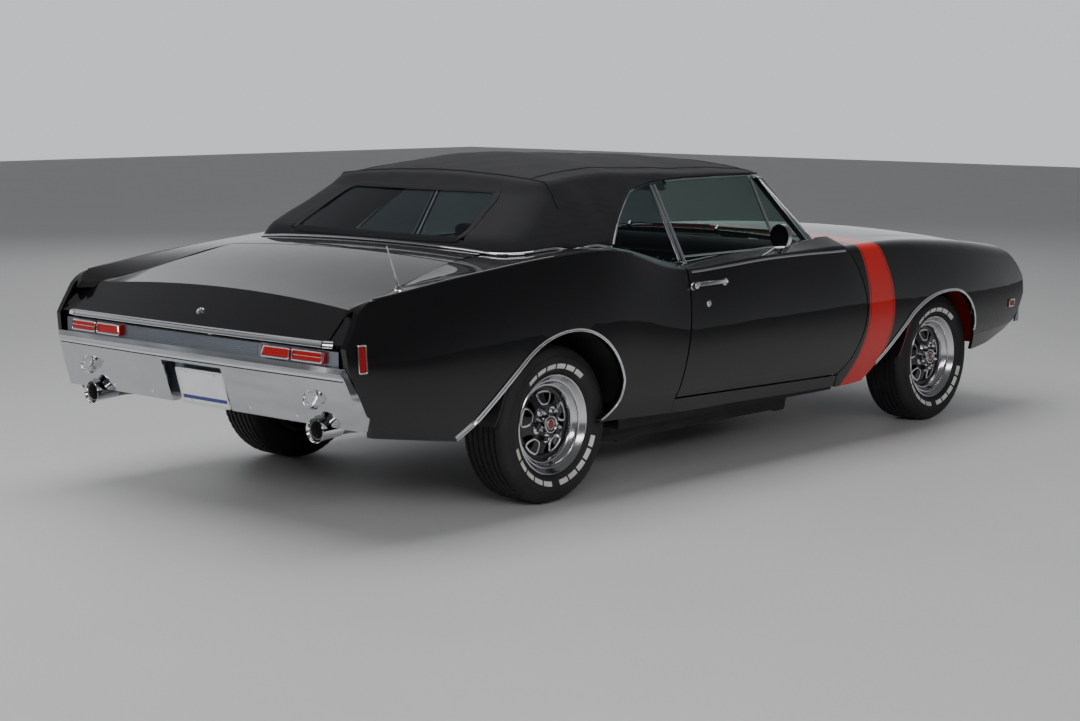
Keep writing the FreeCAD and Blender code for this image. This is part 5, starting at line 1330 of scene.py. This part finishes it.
# %% Ribbed panel between the lamps
ribs = Shape()
for k in range(7):
    ribs.join(straight_across(panel_skin, 0.395, 0.672 + 0.0066 * k, 20,
                              flat_top(0.0026, -0.001, 0.0014, 0.0018)))
ribs.make("tail_panel_ribs", "body", brushed)
shadow = straight_across(panel_skin, 0.415, 0.7185, 20, flat_top(0.002, -0.001, 0.002, 0.001))
shadow.make("tail_panel_shadow_line", "body", seal_rubber)
print("lamps and panel")

# %% Bumper pressings, bolts and the plate
# The groove is a flat dark strip under the bright ledge: a painted shadow standing in for the shade in the
# pressed groove.
groove = straight_across(bumper_skin, 0.858, 0.6130, 90, flat_top(0.0022, -0.001, 0.0022, 0.0004))
groove.make("rear_bumper_groove_shadow", "body", seal_rubber)
ledge = straight_across(bumper_skin, 0.858, 0.6205, 90, ridge(0.0050, -0.001, 0.0045, 0.0008, 0.0022))
ledge.make("rear_bumper_ledge", "body", chrome)
bolts = Shape()
for y, z in ((0.300, 0.458), (0.560, 0.455)):
    hit = behind(bumper_skin, y, z)
    if hit:
        bolts.turned([(0.0085, -0.001), (0.0080, 0.0018), (0.0050, 0.0034), (0.0, 0.0040)], *hit, 20)
bolts.pair().make("rear_bumper_bolts", "body", chrome)
plate_skin = Skin("license_plate")
plate_low, plate_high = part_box("license_plate")
half = plate_high.y


def on_plate(y, share, lift):
    """Point on the plate, share 0 at its foot and 1 at its head."""
    z = plate_low.z + (plate_high.z - plate_low.z) * (0.02 + 0.95 * share)
    return behind(plate_skin, y, z, lift)


# %% Plate frame, stripe and screws
rise = [(half - 0.004, 1 - s / 12) for s in range(13)]
run = [(-half + 0.004 + (2 * half - 0.008) * k / 16, 1.0) for k in range(1, 16)]
edge = [(-y, 1 - share) for y, share in rise] + run + rise + [(-y, 0.0) for y, _ in run]
hits = [hit for hit in (on_plate(y, share, 0.0) for y, share in edge) if hit]
face = hits[3][1]
surround = Shape().lay(hits, ridge(0.0055, -0.002, 0.005, 0.0025, 0.0036), face, True)
surround.make("plate_frame", "body", chrome)
stripe = [on_plate(y, 0.175, 0.0002) for y in (-half + 0.012, half - 0.012)]
Shape().lay(stripe, flat_top(0.0075, -0.001, 0.0075, 0.0006), face).make("plate_stripe", "body", plate_blue)
screws = Shape()
for y in (-0.088, 0.088):
    for share in (0.92, 0.07):
        hit = on_plate(y, share, 0.0)
        if hit:
            screws.turned([(0.0058, -0.001), (0.0055, 0.0014), (0.0030, 0.0024), (0.0, 0.0026)], *hit, 16)
screws.make("plate_screws", "body", chrome)

# %% Reversing lamps and exhaust trumpets
LAMP_Y, LAMP_Z = 0.681, 0.540
seat = behind(Skin("reversing_lamps"), LAMP_Y, LAMP_Z)
lamp_rings, clear = Shape(), Shape()
lamp_rings.turned([(0.0405, -0.008), (0.0405, 0.0015), (0.0385, 0.0035), (0.0345, 0.0040), (0.0320, 0.0025),
                   (0.0310, 0.0005)], *seat, 40)
lamp_rings.turned([(0.0225, 0.0010), (0.0215, 0.0030), (0.0195, 0.0030), (0.0185, 0.0010)], *seat, 32)
clear.turned([(0.0315, 0.0004), (0.0240, 0.0016), (0.0120, 0.0026), (0.0, 0.0030)], *seat, 32)
lamp_rings.pair().make("reversing_lamp_rings", "body", chrome)
clear.pair().make("reversing_lamp_lenses", "body", clear_lens)
trumpets, mouths = Shape(), Shape()
tip = Vector((-2.335, 0.684, 0.4185))
flow = Vector((-1, 0, -0.035)).normalized()
trumpets.turned([(0.0385, -0.02), (0.0392, 0.02), (0.0415, 0.06), (0.0455, 0.090), (0.0470, 0.0935),
                 (0.0462, 0.0950), (0.0440, 0.0930), (0.0395, 0.060), (0.0360, 0.02)], tip, flow)
mouths.turned([(0.0400, 0.062), (0.0, 0.040)], tip, flow, 40)
trumpets.pair().make("exhaust_trumpets", "body", chrome, sharp=50)
mouths.pair().make("exhaust_mouths", "body", pipe_dark)
print("bumper fittings")

# %% Bezels of the side marker lamps
marker_bezels = Shape()
marker_rays = Skin("side_marker_lamps", "quarter_panel_left", "fender_left")
for centre_x, half_x, centre_z, half_z in ((-2.386, 0.0165, 0.694, 0.050), (2.195, 0.032, 0.545, 0.017)):
    outline = rounded([(centre_x + a * half_x, centre_z + b * half_z, 0)
                       for a, b in ((-1, -1), (1, -1), (1, 1), (-1, 1))], 0.006, 3)
    marker_bezels.lay([marker_rays.side(p.x, p.y) for p in outline],
                      ridge(0.003, -0.003, 0.003, 0.001, 0.0025), (0, 1, 0), True)
marker_bezels.pair().make("marker_lamp_bezels", "body", chrome)

# %% [markdown]
# ## Inner faces of the fins
# Between the sloping end of the lid and each rear fin a real body has a painted inner
# face. It is a narrow sheet whose one edge follows the lid's end, sunk a little below
# it, and whose other edge lies against the inside of the fin.

# %% Fin inner faces
FACE_Y, FACE_LOW, FACE_HIGH, SHEET = 0.700, 0.728, 0.928, 0.003
quarter_rays = Skin("quarter_panel_left")
sheet_rows = []
for k in range(25):
    z = FACE_LOW + (FACE_HIGH - FACE_LOW) * k / 24
    here = behind(lid_skin, FACE_Y, z)
    out = here and quarter_rays.toward((here[0].x + 0.010, 0.60, z), (0, 1, 0))
    if out:
        x = here[0].x + 0.010
        sheet_rows.append([Vector((x + dx, y, z)) for dx, y in
                           ((0, FACE_Y), (0, out[0].y + 0.004), (SHEET, out[0].y + 0.004), (SHEET, FACE_Y))])
Shape().rings(sheet_rows).pair().make("fin_inner_faces", "body", black_enamel)
print("fin faces from", round(sheet_rows[0][0].z, 3), "to", round(sheet_rows[-1][0].z, 3))

# %% [markdown]
# ## Windshield fittings
# Two wiper arms park at the foot of the windshield, each with a dark rubber blade under
# it, and the small mirror hangs from the middle of the header inside.

# %% Wipers and inside mirror
shield_skin = Skin("windshield")
wipers, blades = Shape(), Shape()
for pivot_y, tip_y in ((0.42, -0.06), (-0.10, -0.58)):
    arm = []
    for k in range(11):
        t = k / 10
        hit = shield_skin.toward((2.4, pivot_y + (tip_y - pivot_y) * t, 0.962 + 0.012 * t), (-1, 0, 0))
        if hit:
            arm.append((hit[0] + hit[1] * (0.012 - 0.004 * t), hit[1]))
    wipers.lay(arm, flat_top(0.005, 0, 0.003, 0.004))
    wipers.turned([(0.013, -0.02), (0.013, 0.004), (0.008, 0.008), (0.0, 0.008)], *arm[0], 20)
    blades.lay([(p - n * 0.006, n) for p, n in arm[3:]], flat_top(0.003, -0.002, 0.003, 0.004))
wipers.make("wiper_arms", "body", chrome)
blades.make("wiper_blades", "body", seal_rubber)
mirror = Shape()
MIRROR_X = 0.30
outline = rounded([(MIRROR_X, y, z) for y, z in ((-0.115, 1.165), (0.115, 1.165), (0.105, 1.215),
                                                 (-0.105, 1.215))], 0.02)
mirror.slab(outline, (0.022, 0, 0.004), 0.012)
mirror.tube([(0.315, 0.0, 1.200), (0.345, 0.0, 1.235), (0.372, 0.0, 1.252)], 0.006, 8)
mirror.make("inside_mirror", "body", chrome)
print("wipers and mirror")

# %% Cowl louvres and antenna
cowl_skin = Skin("cowl")
louvres = Shape()
for k in range(25):
    y = -0.48 + 0.04 * k
    seen = [hit for hit in (cowl_skin.top(0.56 + 0.01 * s, y) for s in range(30)) if hit and hit[1].z > 0.7]
    spare = max(2, len(seen) // 5)
    path = seen[spare:-spare]
    if len(path) > 2:
        louvres.lay(path, flat_top(0.009, -0.0008, 0.008, 0.0012))
louvres.make("cowl_louvres", "body", seal_rubber)
mast = Shape()
base = Skin("quarter_panel_right").top(-2.105, -0.793)[0]
mast.turned([(0.017, -0.001), (0.0165, 0.006), (0.012, 0.014), (0.007, 0.022), (0.0, 0.024)],
            base, (0, 0, 1), 24)
mast.tube([base + Vector((-0.013 * k, 0.007 * k, 0.018 + 0.050 * k)) for k in range(4)],
          [0.0034, 0.0030, 0.0027, 0.0024], 8)
mast.make("radio_mast", "body", chrome)
print("mast stands at", [round(v, 3) for v in base])

# %% Closing panels beside the bulkhead
PANEL_X, PANEL_INNER_Y = 0.868, 0.640
inner_rays = Skin("fender_left")
wing_rows = []
for k in range(23):
    z = 0.400 + 0.0225 * k
    out = inner_rays.toward((PANEL_X, 0.60, z), (0, 1, 0))
    if out:
        reach = out[0].y - 0.002
        wing_rows.append([Vector((PANEL_X + dx, y, z)) for dx, y in
                          ((0, PANEL_INNER_Y), (0, reach), (SHEET, reach), (SHEET, PANEL_INNER_Y))])
Shape().rings(wing_rows).pair().make("bulkhead_wings", "body", chassis_black)
print("closing panels", len(wing_rows), "rows")

# %% [markdown]
# ## Seats
# The seats are vinyl over foam: two buckets in front and a bench behind. Foam under vinyl
# crowns in the middle and pulls in at its sewn edges. A pad starts as a rounded block a
# little smaller than the real one; it is remeshed evenly and blown up for a moment with
# the cloth solver, with a cap on how far any point may move. The piping and the sewn
# channels come after that, laid on the finished surface by rays.

# %% Rounded blocks for the pads
def block_form(size, radius):
    """Rounded block of a given size about its centre."""
    form = bmesh.new()
    bmesh.ops.create_cube(form, size=1.0)
    for v in form.verts:
        v.co = Vector((v.co.x * size[0], v.co.y * size[1], v.co.z * size[2]))
    bmesh.ops.bevel(form, geom=list(form.edges), offset=radius, segments=5, affect="EDGES", profile=0.5)
    bmesh.ops.subdivide_edges(form, edges=[e for e in form.edges if e.calc_length() > 0.04], cuts=9,
                              use_grid_fill=True)
    return form


def pad(name, size, radius, seat, voxel):
    """Pad of seat vinyl, placed by a matrix and remeshed evenly."""
    mesh = bpy.data.meshes.new(name)
    form = block_form(size, radius)
    form.transform(seat)
    form.to_mesh(mesh)
    form.free()
    piece = place_object(name, mesh)
    remesh = piece.modifiers.new("even", "REMESH")
    remesh.mode = "VOXEL"
    remesh.voxel_size = voxel
    settle(piece)
    piece.data.materials.clear()
    piece.data.materials.append(seat_vinyl)
    return piece


def settle(piece):
    """Keep the shape that the modifiers give and drop them."""
    seen = piece.evaluated_get(bpy.context.evaluated_depsgraph_get())
    mesh = bpy.data.meshes.new_from_object(seen)
    piece.modifiers.clear()
    piece.data = mesh
    for face in mesh.polygons:
        face.use_smooth = True


def leaning(place, degrees):
    """Matrix that moves a pad to its place and tips it back."""
    return Matrix.Translation(place) @ Matrix.Rotation(math.radians(degrees), 4, "Y")


VOXEL = 0.0065
SEAT_Y = 0.372
PADS = [("seat_left_cushion", (0.48, 0.52, 0.110), 0.045, (-0.110, SEAT_Y, 0.452), -6, VOXEL),
        ("seat_left_back", (0.105, 0.51, 0.44), 0.042, (-0.425, SEAT_Y, 0.678), -11, VOXEL),
        ("seat_left_headrest", (0.070, 0.24, 0.085), 0.030, (-0.487, SEAT_Y, 0.982), -11, VOXEL),
        ("rear_seat_cushion", (0.33, 1.09, 0.105), 0.042, (-0.790, 0.0, 0.405), -3, VOXEL * 1.3),
        ("rear_seat_back", (0.100, 1.09, 0.42), 0.040, (-0.965, 0.0, 0.682), -15, VOXEL * 1.3)]
pads = [pad(name, size, radius, leaning(place, degrees), voxel)
        for name, size, radius, place, degrees, voxel in PADS]
front_cushion, front_back, _, rear_cushion, rear_back = pads
print([len(p.data.vertices) for p in pads], "points in the pads")

# %% Blow the pads up
CAP, PRESSURE = 0.014, 4.0


def puff(pieces):
    """Short cloth run with inner pressure; no point moves farther than the cap."""
    starts = []
    for piece in pieces:
        starts.append([v.co.copy() for v in piece.data.vertices])
        cloth = piece.modifiers.new("foam", "CLOTH")
        cloth.settings.quality = 3
        cloth.settings.use_pressure = True
        cloth.settings.uniform_pressure_force = PRESSURE
        cloth.settings.effector_weights.gravity = 0.0
    for number in range(1, 21):
        bpy.context.scene.frame_set(number)
    for piece, start in zip(pieces, starts):
        settle(piece)
        for v, home in zip(piece.data.vertices, start):
            move = v.co - home
            if move.length > CAP:
                v.co = home + move * (CAP / move.length)
    bpy.context.scene.frame_set(1)


puff(pads)
print("pads filled")


# %% Piping and channels
def stitched(piece, lines, way, profile):
    """Beads along lines of points that are dropped onto a pad."""
    tree = BVHTree.FromPolygons([v.co for v in piece.data.vertices],
                                [list(p.vertices) for p in piece.data.polygons])
    beads = Shape()
    for line in lines:
        hits = [tree.ray_cast(Vector(p), Vector(way))[:2] for p in line]
        hits = [hit for hit in hits if hit[0] is not None]
        if len(hits) > 3:
            beads.lay(hits, profile)
    return beads


def lines_in(axis, start, end, count, others):
    """Straight lines of points along one axis; others lists the fixed point of each line."""
    lines = []
    for fixed in others:
        line = []
        for k in range(count + 1):
            point = list(fixed)
            point[axis] = start + (end - start) * k / count
            line.append(tuple(point))
        lines.append(line)
    return lines


PIPING = ridge(0.0045, -0.003, 0.0035, 0.002, 0.0035)
CHANNEL = ridge(0.003, -0.004, 0.0022, 0.0006, -0.0008)
SEAT_CHANNELS = [SEAT_Y + y for y in (-0.16, -0.096, -0.032, 0.032, 0.096, 0.16)]
BENCH_CHANNELS = [-0.44 + 0.08 * n for n in range(12)]
bench_beads = stitched(rear_cushion, lines_in(0, -0.93, -0.67, 16, [(0, y, 0.70) for y in BENCH_CHANNELS]),
                       (0, 0, -1), CHANNEL)
bench_beads.join(stitched(rear_back, lines_in(2, 0.54, 0.84, 14, [(-0.70, y, 0) for y in BENCH_CHANNELS]),
                          (-1, 0, 0), CHANNEL))
bench_beads.make("rear_seat_stitching", "body", seat_vinyl)
cushion_lines = lines_in(0, -0.29, 0.07, 20, [(0, y, 0.70) for y in SEAT_CHANNELS])
cushion_lines += lines_in(1, SEAT_Y - 0.20, SEAT_Y + 0.20, 20, [(x, 0, 0.70) for x in (-0.31, 0.085)])
left_beads = stitched(front_cushion, cushion_lines, (0, 0, -1), CHANNEL)
left_beads.join(stitched(front_back, lines_in(2, 0.52, 0.88, 18, [(0, y, 0) for y in SEAT_CHANNELS]),
                         (-1, 0, 0), CHANNEL))
left_beads.join(stitched(front_back, lines_in(1, SEAT_Y - 0.20, SEAT_Y + 0.20, 14, [(0, 0, 0.92)]),
                         (-1, 0, 0), PIPING))
left_beads.pair().make("front_seat_stitching", "body", seat_vinyl)

# %% Place the seats
for piece in pads[:3]:
    twin = place_object(piece.name.replace("left", "right"), piece.data.copy())
    twin.data.transform(Matrix.Scale(-1, 4, (0, 1, 0)))
    twin.data.flip_normals()
    pads.append(twin)
for piece in pads:
    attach(piece, "body")
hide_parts("front_seats")
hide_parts("rear_seat")
frames = Shape()
for (x0, x1), (y0, y1), z, rise, inset in (((-0.33, 0.10), (0.16, 0.584), 0.248, (0, 0, 0.150), 0.03),
                                           ((-0.80, -0.64), (0.19, 0.54), 0.250, (0, 0, 0.110), 0.01),
                                           ((-0.42, -0.34), (0.20, 0.54), 0.395, (-0.01, 0, 0.09), 0.01)):
    frames.slab([(x0, y0, z), (x1, y0, z), (x1, y1, z), (x0, y1, z)], rise, inset)
frames.tube([(-0.468, SEAT_Y, 0.88), (-0.482, SEAT_Y, 0.96)], 0.008)
frames.pair().make("front_seat_bases", "body", dark_plastic)
print("seats placed")

# %% [markdown]
# ## Inside the cabin
# Through the glass a viewer sees the wheel, the dash with its round dials, dark door
# cards and carpet. These are thin dressed surfaces over the metal: trim laid on the
# inside of the doors by rays sent outwards from the cabin, and dials turned on the dash.

# %% Dash, door cards and carpet
dash_skin = Skin("dashboard")
dials, faces_of_dials = Shape(), Shape()
for y, z, radius in ((0.50, 0.815, 0.045), (0.37, 0.815, 0.052), (0.24, 0.815, 0.045), (-0.05, 0.80, 0.030),
                     (0.05, 0.80, 0.030)):
    hit = dash_skin.toward((-0.3, y, z), (1, 0, 0))
    if hit:
        dials.turned([(radius + 0.006, -0.002), (radius + 0.005, 0.006), (radius, 0.009),
                      (radius - 0.002, 0.002)], *hit, 32)
        faces_of_dials.turned([(radius, 0.0015), (radius * 0.5, 0.0022), (0.0, 0.0024)], *hit, 24)
for z in (0.865, 0.760):
    line = [dash_skin.toward((-0.3, 0.70 - 1.40 * k / 30, z), (1, 0, 0)) for k in range(31)]
    dials.lay(line, bead(0.007, 0.004))
dials.make("dash_brightwork", "body", chrome)
faces_of_dials.make("dash_dial_faces", "body", dark_plastic)
for side, hand in SIDES:
    inner = Skin(f"door_{side}")
    grid = []
    for j in range(25):
        x = -0.40 + 0.98 * j / 24
        column = [inner.toward((x, 0, 0.36 + 0.50 * k / 14), (0, hand, 0)) for k in range(15)]
        if all(column):
            pleat = 0.003 * abs(math.sin(j * math.pi / 2)) + 0.006
            grid.append([h[0] - Vector((0, hand * (pleat if 2 < k < 12 else 0.006), 0))
                         for k, h in enumerate(column)])
    card = Shape().rings(grid, False, False, False)
    thicken(card.make(f"door_card_{side}", f"door_{side}", seat_vinyl), 0.004, 0.0)
    pull = curve_through([(-0.22, hand * 0.742, 0.660), (-0.16, hand * 0.722, 0.672),
                          (0.08, hand * 0.722, 0.672), (0.14, hand * 0.742, 0.660)], 20)
    Shape().tube(pull, 0.016).make(f"door_pull_{side}", f"door_{side}", seat_vinyl)
floor_skin = Skin("floor_pan")
rug_rows = []
for j in range(40):
    x = -0.78 + 1.40 * j / 39
    row = [floor_skin.top(x, -0.70 + 1.40 * k / 56) for k in range(57)]
    if all(row):
        rug_rows.append([h[0] + Vector((0, 0, 0.004)) for h in row])
thicken(Shape().rings(rug_rows, False, False, False).make("cabin_carpet", "body", carpet), 0.006, 1.0)
wheel_centre = pivots["steering_column"]
column_way = Vector((-math.cos(math.radians(22)), 0, math.sin(math.radians(22))))
horn = Shape().turned([(0.150, 0.000), (0.150, 0.004), (0.145, 0.006), (0.140, 0.004), (0.140, 0.0)],
                      wheel_centre - column_way * 0.004, column_way, 64)
horn.turned([(0.040, -0.004), (0.036, 0.010), (0.020, 0.016), (0.0, 0.017)], wheel_centre, column_way, 32)
horn.make("steering_wheel_brightwork", "steering_wheel", chrome)
print("cabin dressed")

# %% [markdown]
# ## The nose
# Four round lamps sit in bright rings at the ends of two narrow grilles. Each grille is a
# bright frame round fine horizontal bars, and a fine painted shadow line runs along the bumper.
# Rays sent back from ahead of the car place everything.

# %% Lamps and grilles
lamp_rings, lamp_glass = Shape(), Shape()
for y in (0.612, 0.762):
    seat = Skin("headlamps").toward((BEYOND, y, 0.676), (-1, 0, 0))[0]
    lamp_rings.turned([(0.0780, -0.012), (0.0785, 0.004), (0.0765, 0.008), (0.0720, 0.007), (0.0690, 0.001)],
                      seat, (1, 0, 0))
    lamp_glass.turned([(0.0700, 0.0010), (0.0520, 0.0065), (0.0280, 0.0095), (0.0, 0.0105)],
                      seat, (1, 0, 0), 40)
lamp_rings.pair().make("headlamp_rings", "body", chrome)
lamp_glass.pair().make("headlamp_glass", "body", clear_lens)


def across_nose(skin, y_from, y_to, z, profile, count=30):
    """Level strip laid on the nose between two places."""
    hits = [skin.toward((BEYOND, *place), (-1, 0, 0)) for place in stepped((y_from, z), (y_to, z), count)]
    return Shape().lay(hits, profile, (1, 0, 0))


grille_low, grille_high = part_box("grille")
grille_rays = Skin("grille")
bars = Shape()
for n in range(9):
    z = grille_low.z + 0.012 + (grille_high.z - grille_low.z - 0.024) * n / 8
    bars.join(across_nose(grille_rays, 0.06, 0.50, z, flat_top(0.003, -0.002, 0.0022, 0.003)))
bars.pair().make("grille_bars", "body", brushed)
surround = Shape()
for z in (grille_low.z + 0.003, grille_high.z - 0.004):
    surround.join(across_nose(grille_rays, 0.045, 0.515, z, bead(0.008, 0.006)))
surround.pair().make("grille_frames", "body", chrome)
# The dark line along the front bumper is a flat dark strip on the chrome: a painted shadow line.
across_nose(Skin("front_bumper"), -0.80, 0.80, 0.508, ridge(0.004, -0.001, 0.0035, 0.0, 0.0005), 60).make(
    "front_bumper_shadow_line", "body", seal_rubber)

# %% [markdown]
# ## Under the hood
# The engine node is one plain block, so it is dressed with what shows when the hood is
# up: two ribbed valve covers and a round air cleaner.

# %% Engine dressing
covers = Shape()
for hand in (1, -1):
    inner, outer = 0.195 * hand, 0.295 * hand
    for k in range(9):
        x = 0.93 + 0.048 * k
        covers.tube([(x, 0.205 * hand, 0.708), (x, 0.285 * hand, 0.700)], 0.006, 8)
    covers.slab([(0.90, inner, 0.690), (1.34, inner, 0.690), (1.34, outer, 0.690), (0.90, outer, 0.690)],
                (0, 0, 0.022), 0.012)
covers.make("valve_covers", "body", engine_paint)
cleaner_seat = (1.16, 0.0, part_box("engine_block")[1].z + 0.012)
Shape().turned([(0.0, 0.030), (0.012, 0.030), (0.014, 0.016), (0.165, 0.012), (0.178, 0.004), (0.178, -0.020),
                (0.170, -0.026)], cleaner_seat, (0, 0, 1), 64).make("air_cleaner", "body", chrome)
print("nose and engine dressed")

# %% [markdown]
# ## Floor, light and camera
# Chrome and black enamel show nothing but what surrounds them, so the studio matters more
# than on a dull object: a pale floor, a pale wall all round and a few large soft lamps
# whose edges draw bright lines along the shoulders. Two fill lamps light the matt parts but
# stay out of the reflections. The camera stands low behind the right rear corner.

# %% Floor and studio
floor = bpy.data.meshes.new("studio_floor")
reach, under_tyres = 30.0, -0.0015
floor.from_pydata([(-reach, -reach, 0), (reach, -reach, 0), (reach, reach, 0), (-reach, reach, 0)], [],
                  [(0, 1, 2, 3)])
floor_object = place_object("studio_floor", floor)
floor_object.location.z = under_tyres
pale = Finish("pale_floor")
patches = pale.speckle(0.8, 6.0)
floor.materials.append(pale.done(pale.shader(
    Base_Color=pale.blend(patches, (0.60, 0.60, 0.60), (0.68, 0.68, 0.68)), Roughness=patches * 0.1 + 0.5)))

world = bpy.data.worlds.new("studio_air")
world.use_nodes = True
bpy.context.scene.world = world
air = world.node_tree
glow = air.nodes["Background"]
sky = air.nodes.new("ShaderNodeTexCoord")
wall = air.nodes.new("ShaderNodeVectorMath")
wall.operation = "DOT_PRODUCT"
wall.inputs[1].default_value = (0.50, 0.68, -1.10)
air.links.new(sky.outputs["Generated"], wall.inputs[0])
fade = air.nodes.new("ShaderNodeMapRange")
fade.interpolation_type = "SMOOTHSTEP"
for name, value in (("From Min", -0.45), ("From Max", 0.80), ("To Min", 0.10), ("To Max", 0.85)):
    fade.inputs[name].default_value = value
air.links.new(wall.outputs["Value"], fade.inputs["Value"])
air.links.new(fade.outputs["Result"], glow.inputs["Strength"])
glow.inputs["Color"].default_value = (0.90, 0.92, 0.95, 1.0)


def soft_lamp(name, place, target, size, power):
    lamp = bpy.data.lights.new(name, "AREA")
    lamp.shape = "RECTANGLE"
    lamp.size, lamp.size_y = size
    lamp.energy = power
    holder = place_object(name, lamp)
    holder.location = place
    holder.rotation_euler = (Vector(target) - Vector(place)).to_track_quat("-Z", "Y").to_euler()
    return holder


soft_lamp("overhead", (-0.8, 0.4, 5.4), (-0.8, 0.2, 0.0), (8.0, 3.4), 240)
soft_lamp("side_strip", (-3.2, -7.5, 3.6), (-0.6, -0.9, 0.6), (9.0, 1.2), 150)
soft_lamp("rear_strip", (-8.5, 2.0, 3.4), (-2.4, 0.0, 0.6), (5.0, 1.4), 90)
far = soft_lamp("far_fill", (5.5, 8.0, 6.5), (0.5, 0.8, 0.8), (10.0, 5.0), 260)
near = soft_lamp("near_fill", (-8.5, -5.5, 5.0), (-2.2, -0.4, 0.4), (7.0, 3.0), 170)
far.visible_glossy = near.visible_glossy = False


# %% Camera
eye = Vector((-7.39827, -6.30444, 1.69301))
yaw, pitch, roll = 0.833865, 0.135336, 0.0036
forward = Vector((math.sin(yaw) * math.cos(pitch), math.cos(yaw) * math.cos(pitch), -math.sin(pitch)))
level = Vector((math.cos(yaw), -math.sin(yaw), 0.0))
above = level.cross(forward)
right = level * math.cos(roll) + above * math.sin(roll)
up = above * math.cos(roll) - level * math.sin(roll)
lens = bpy.data.cameras.new("view")
lens.lens, lens.sensor_width = 69.036, 36.0
viewer = place_object("view", lens)
turn = Matrix((right, up, -forward)).transposed().to_4x4()
viewer.matrix_world = Matrix.Translation(eye) @ turn
bpy.context.scene.camera = viewer
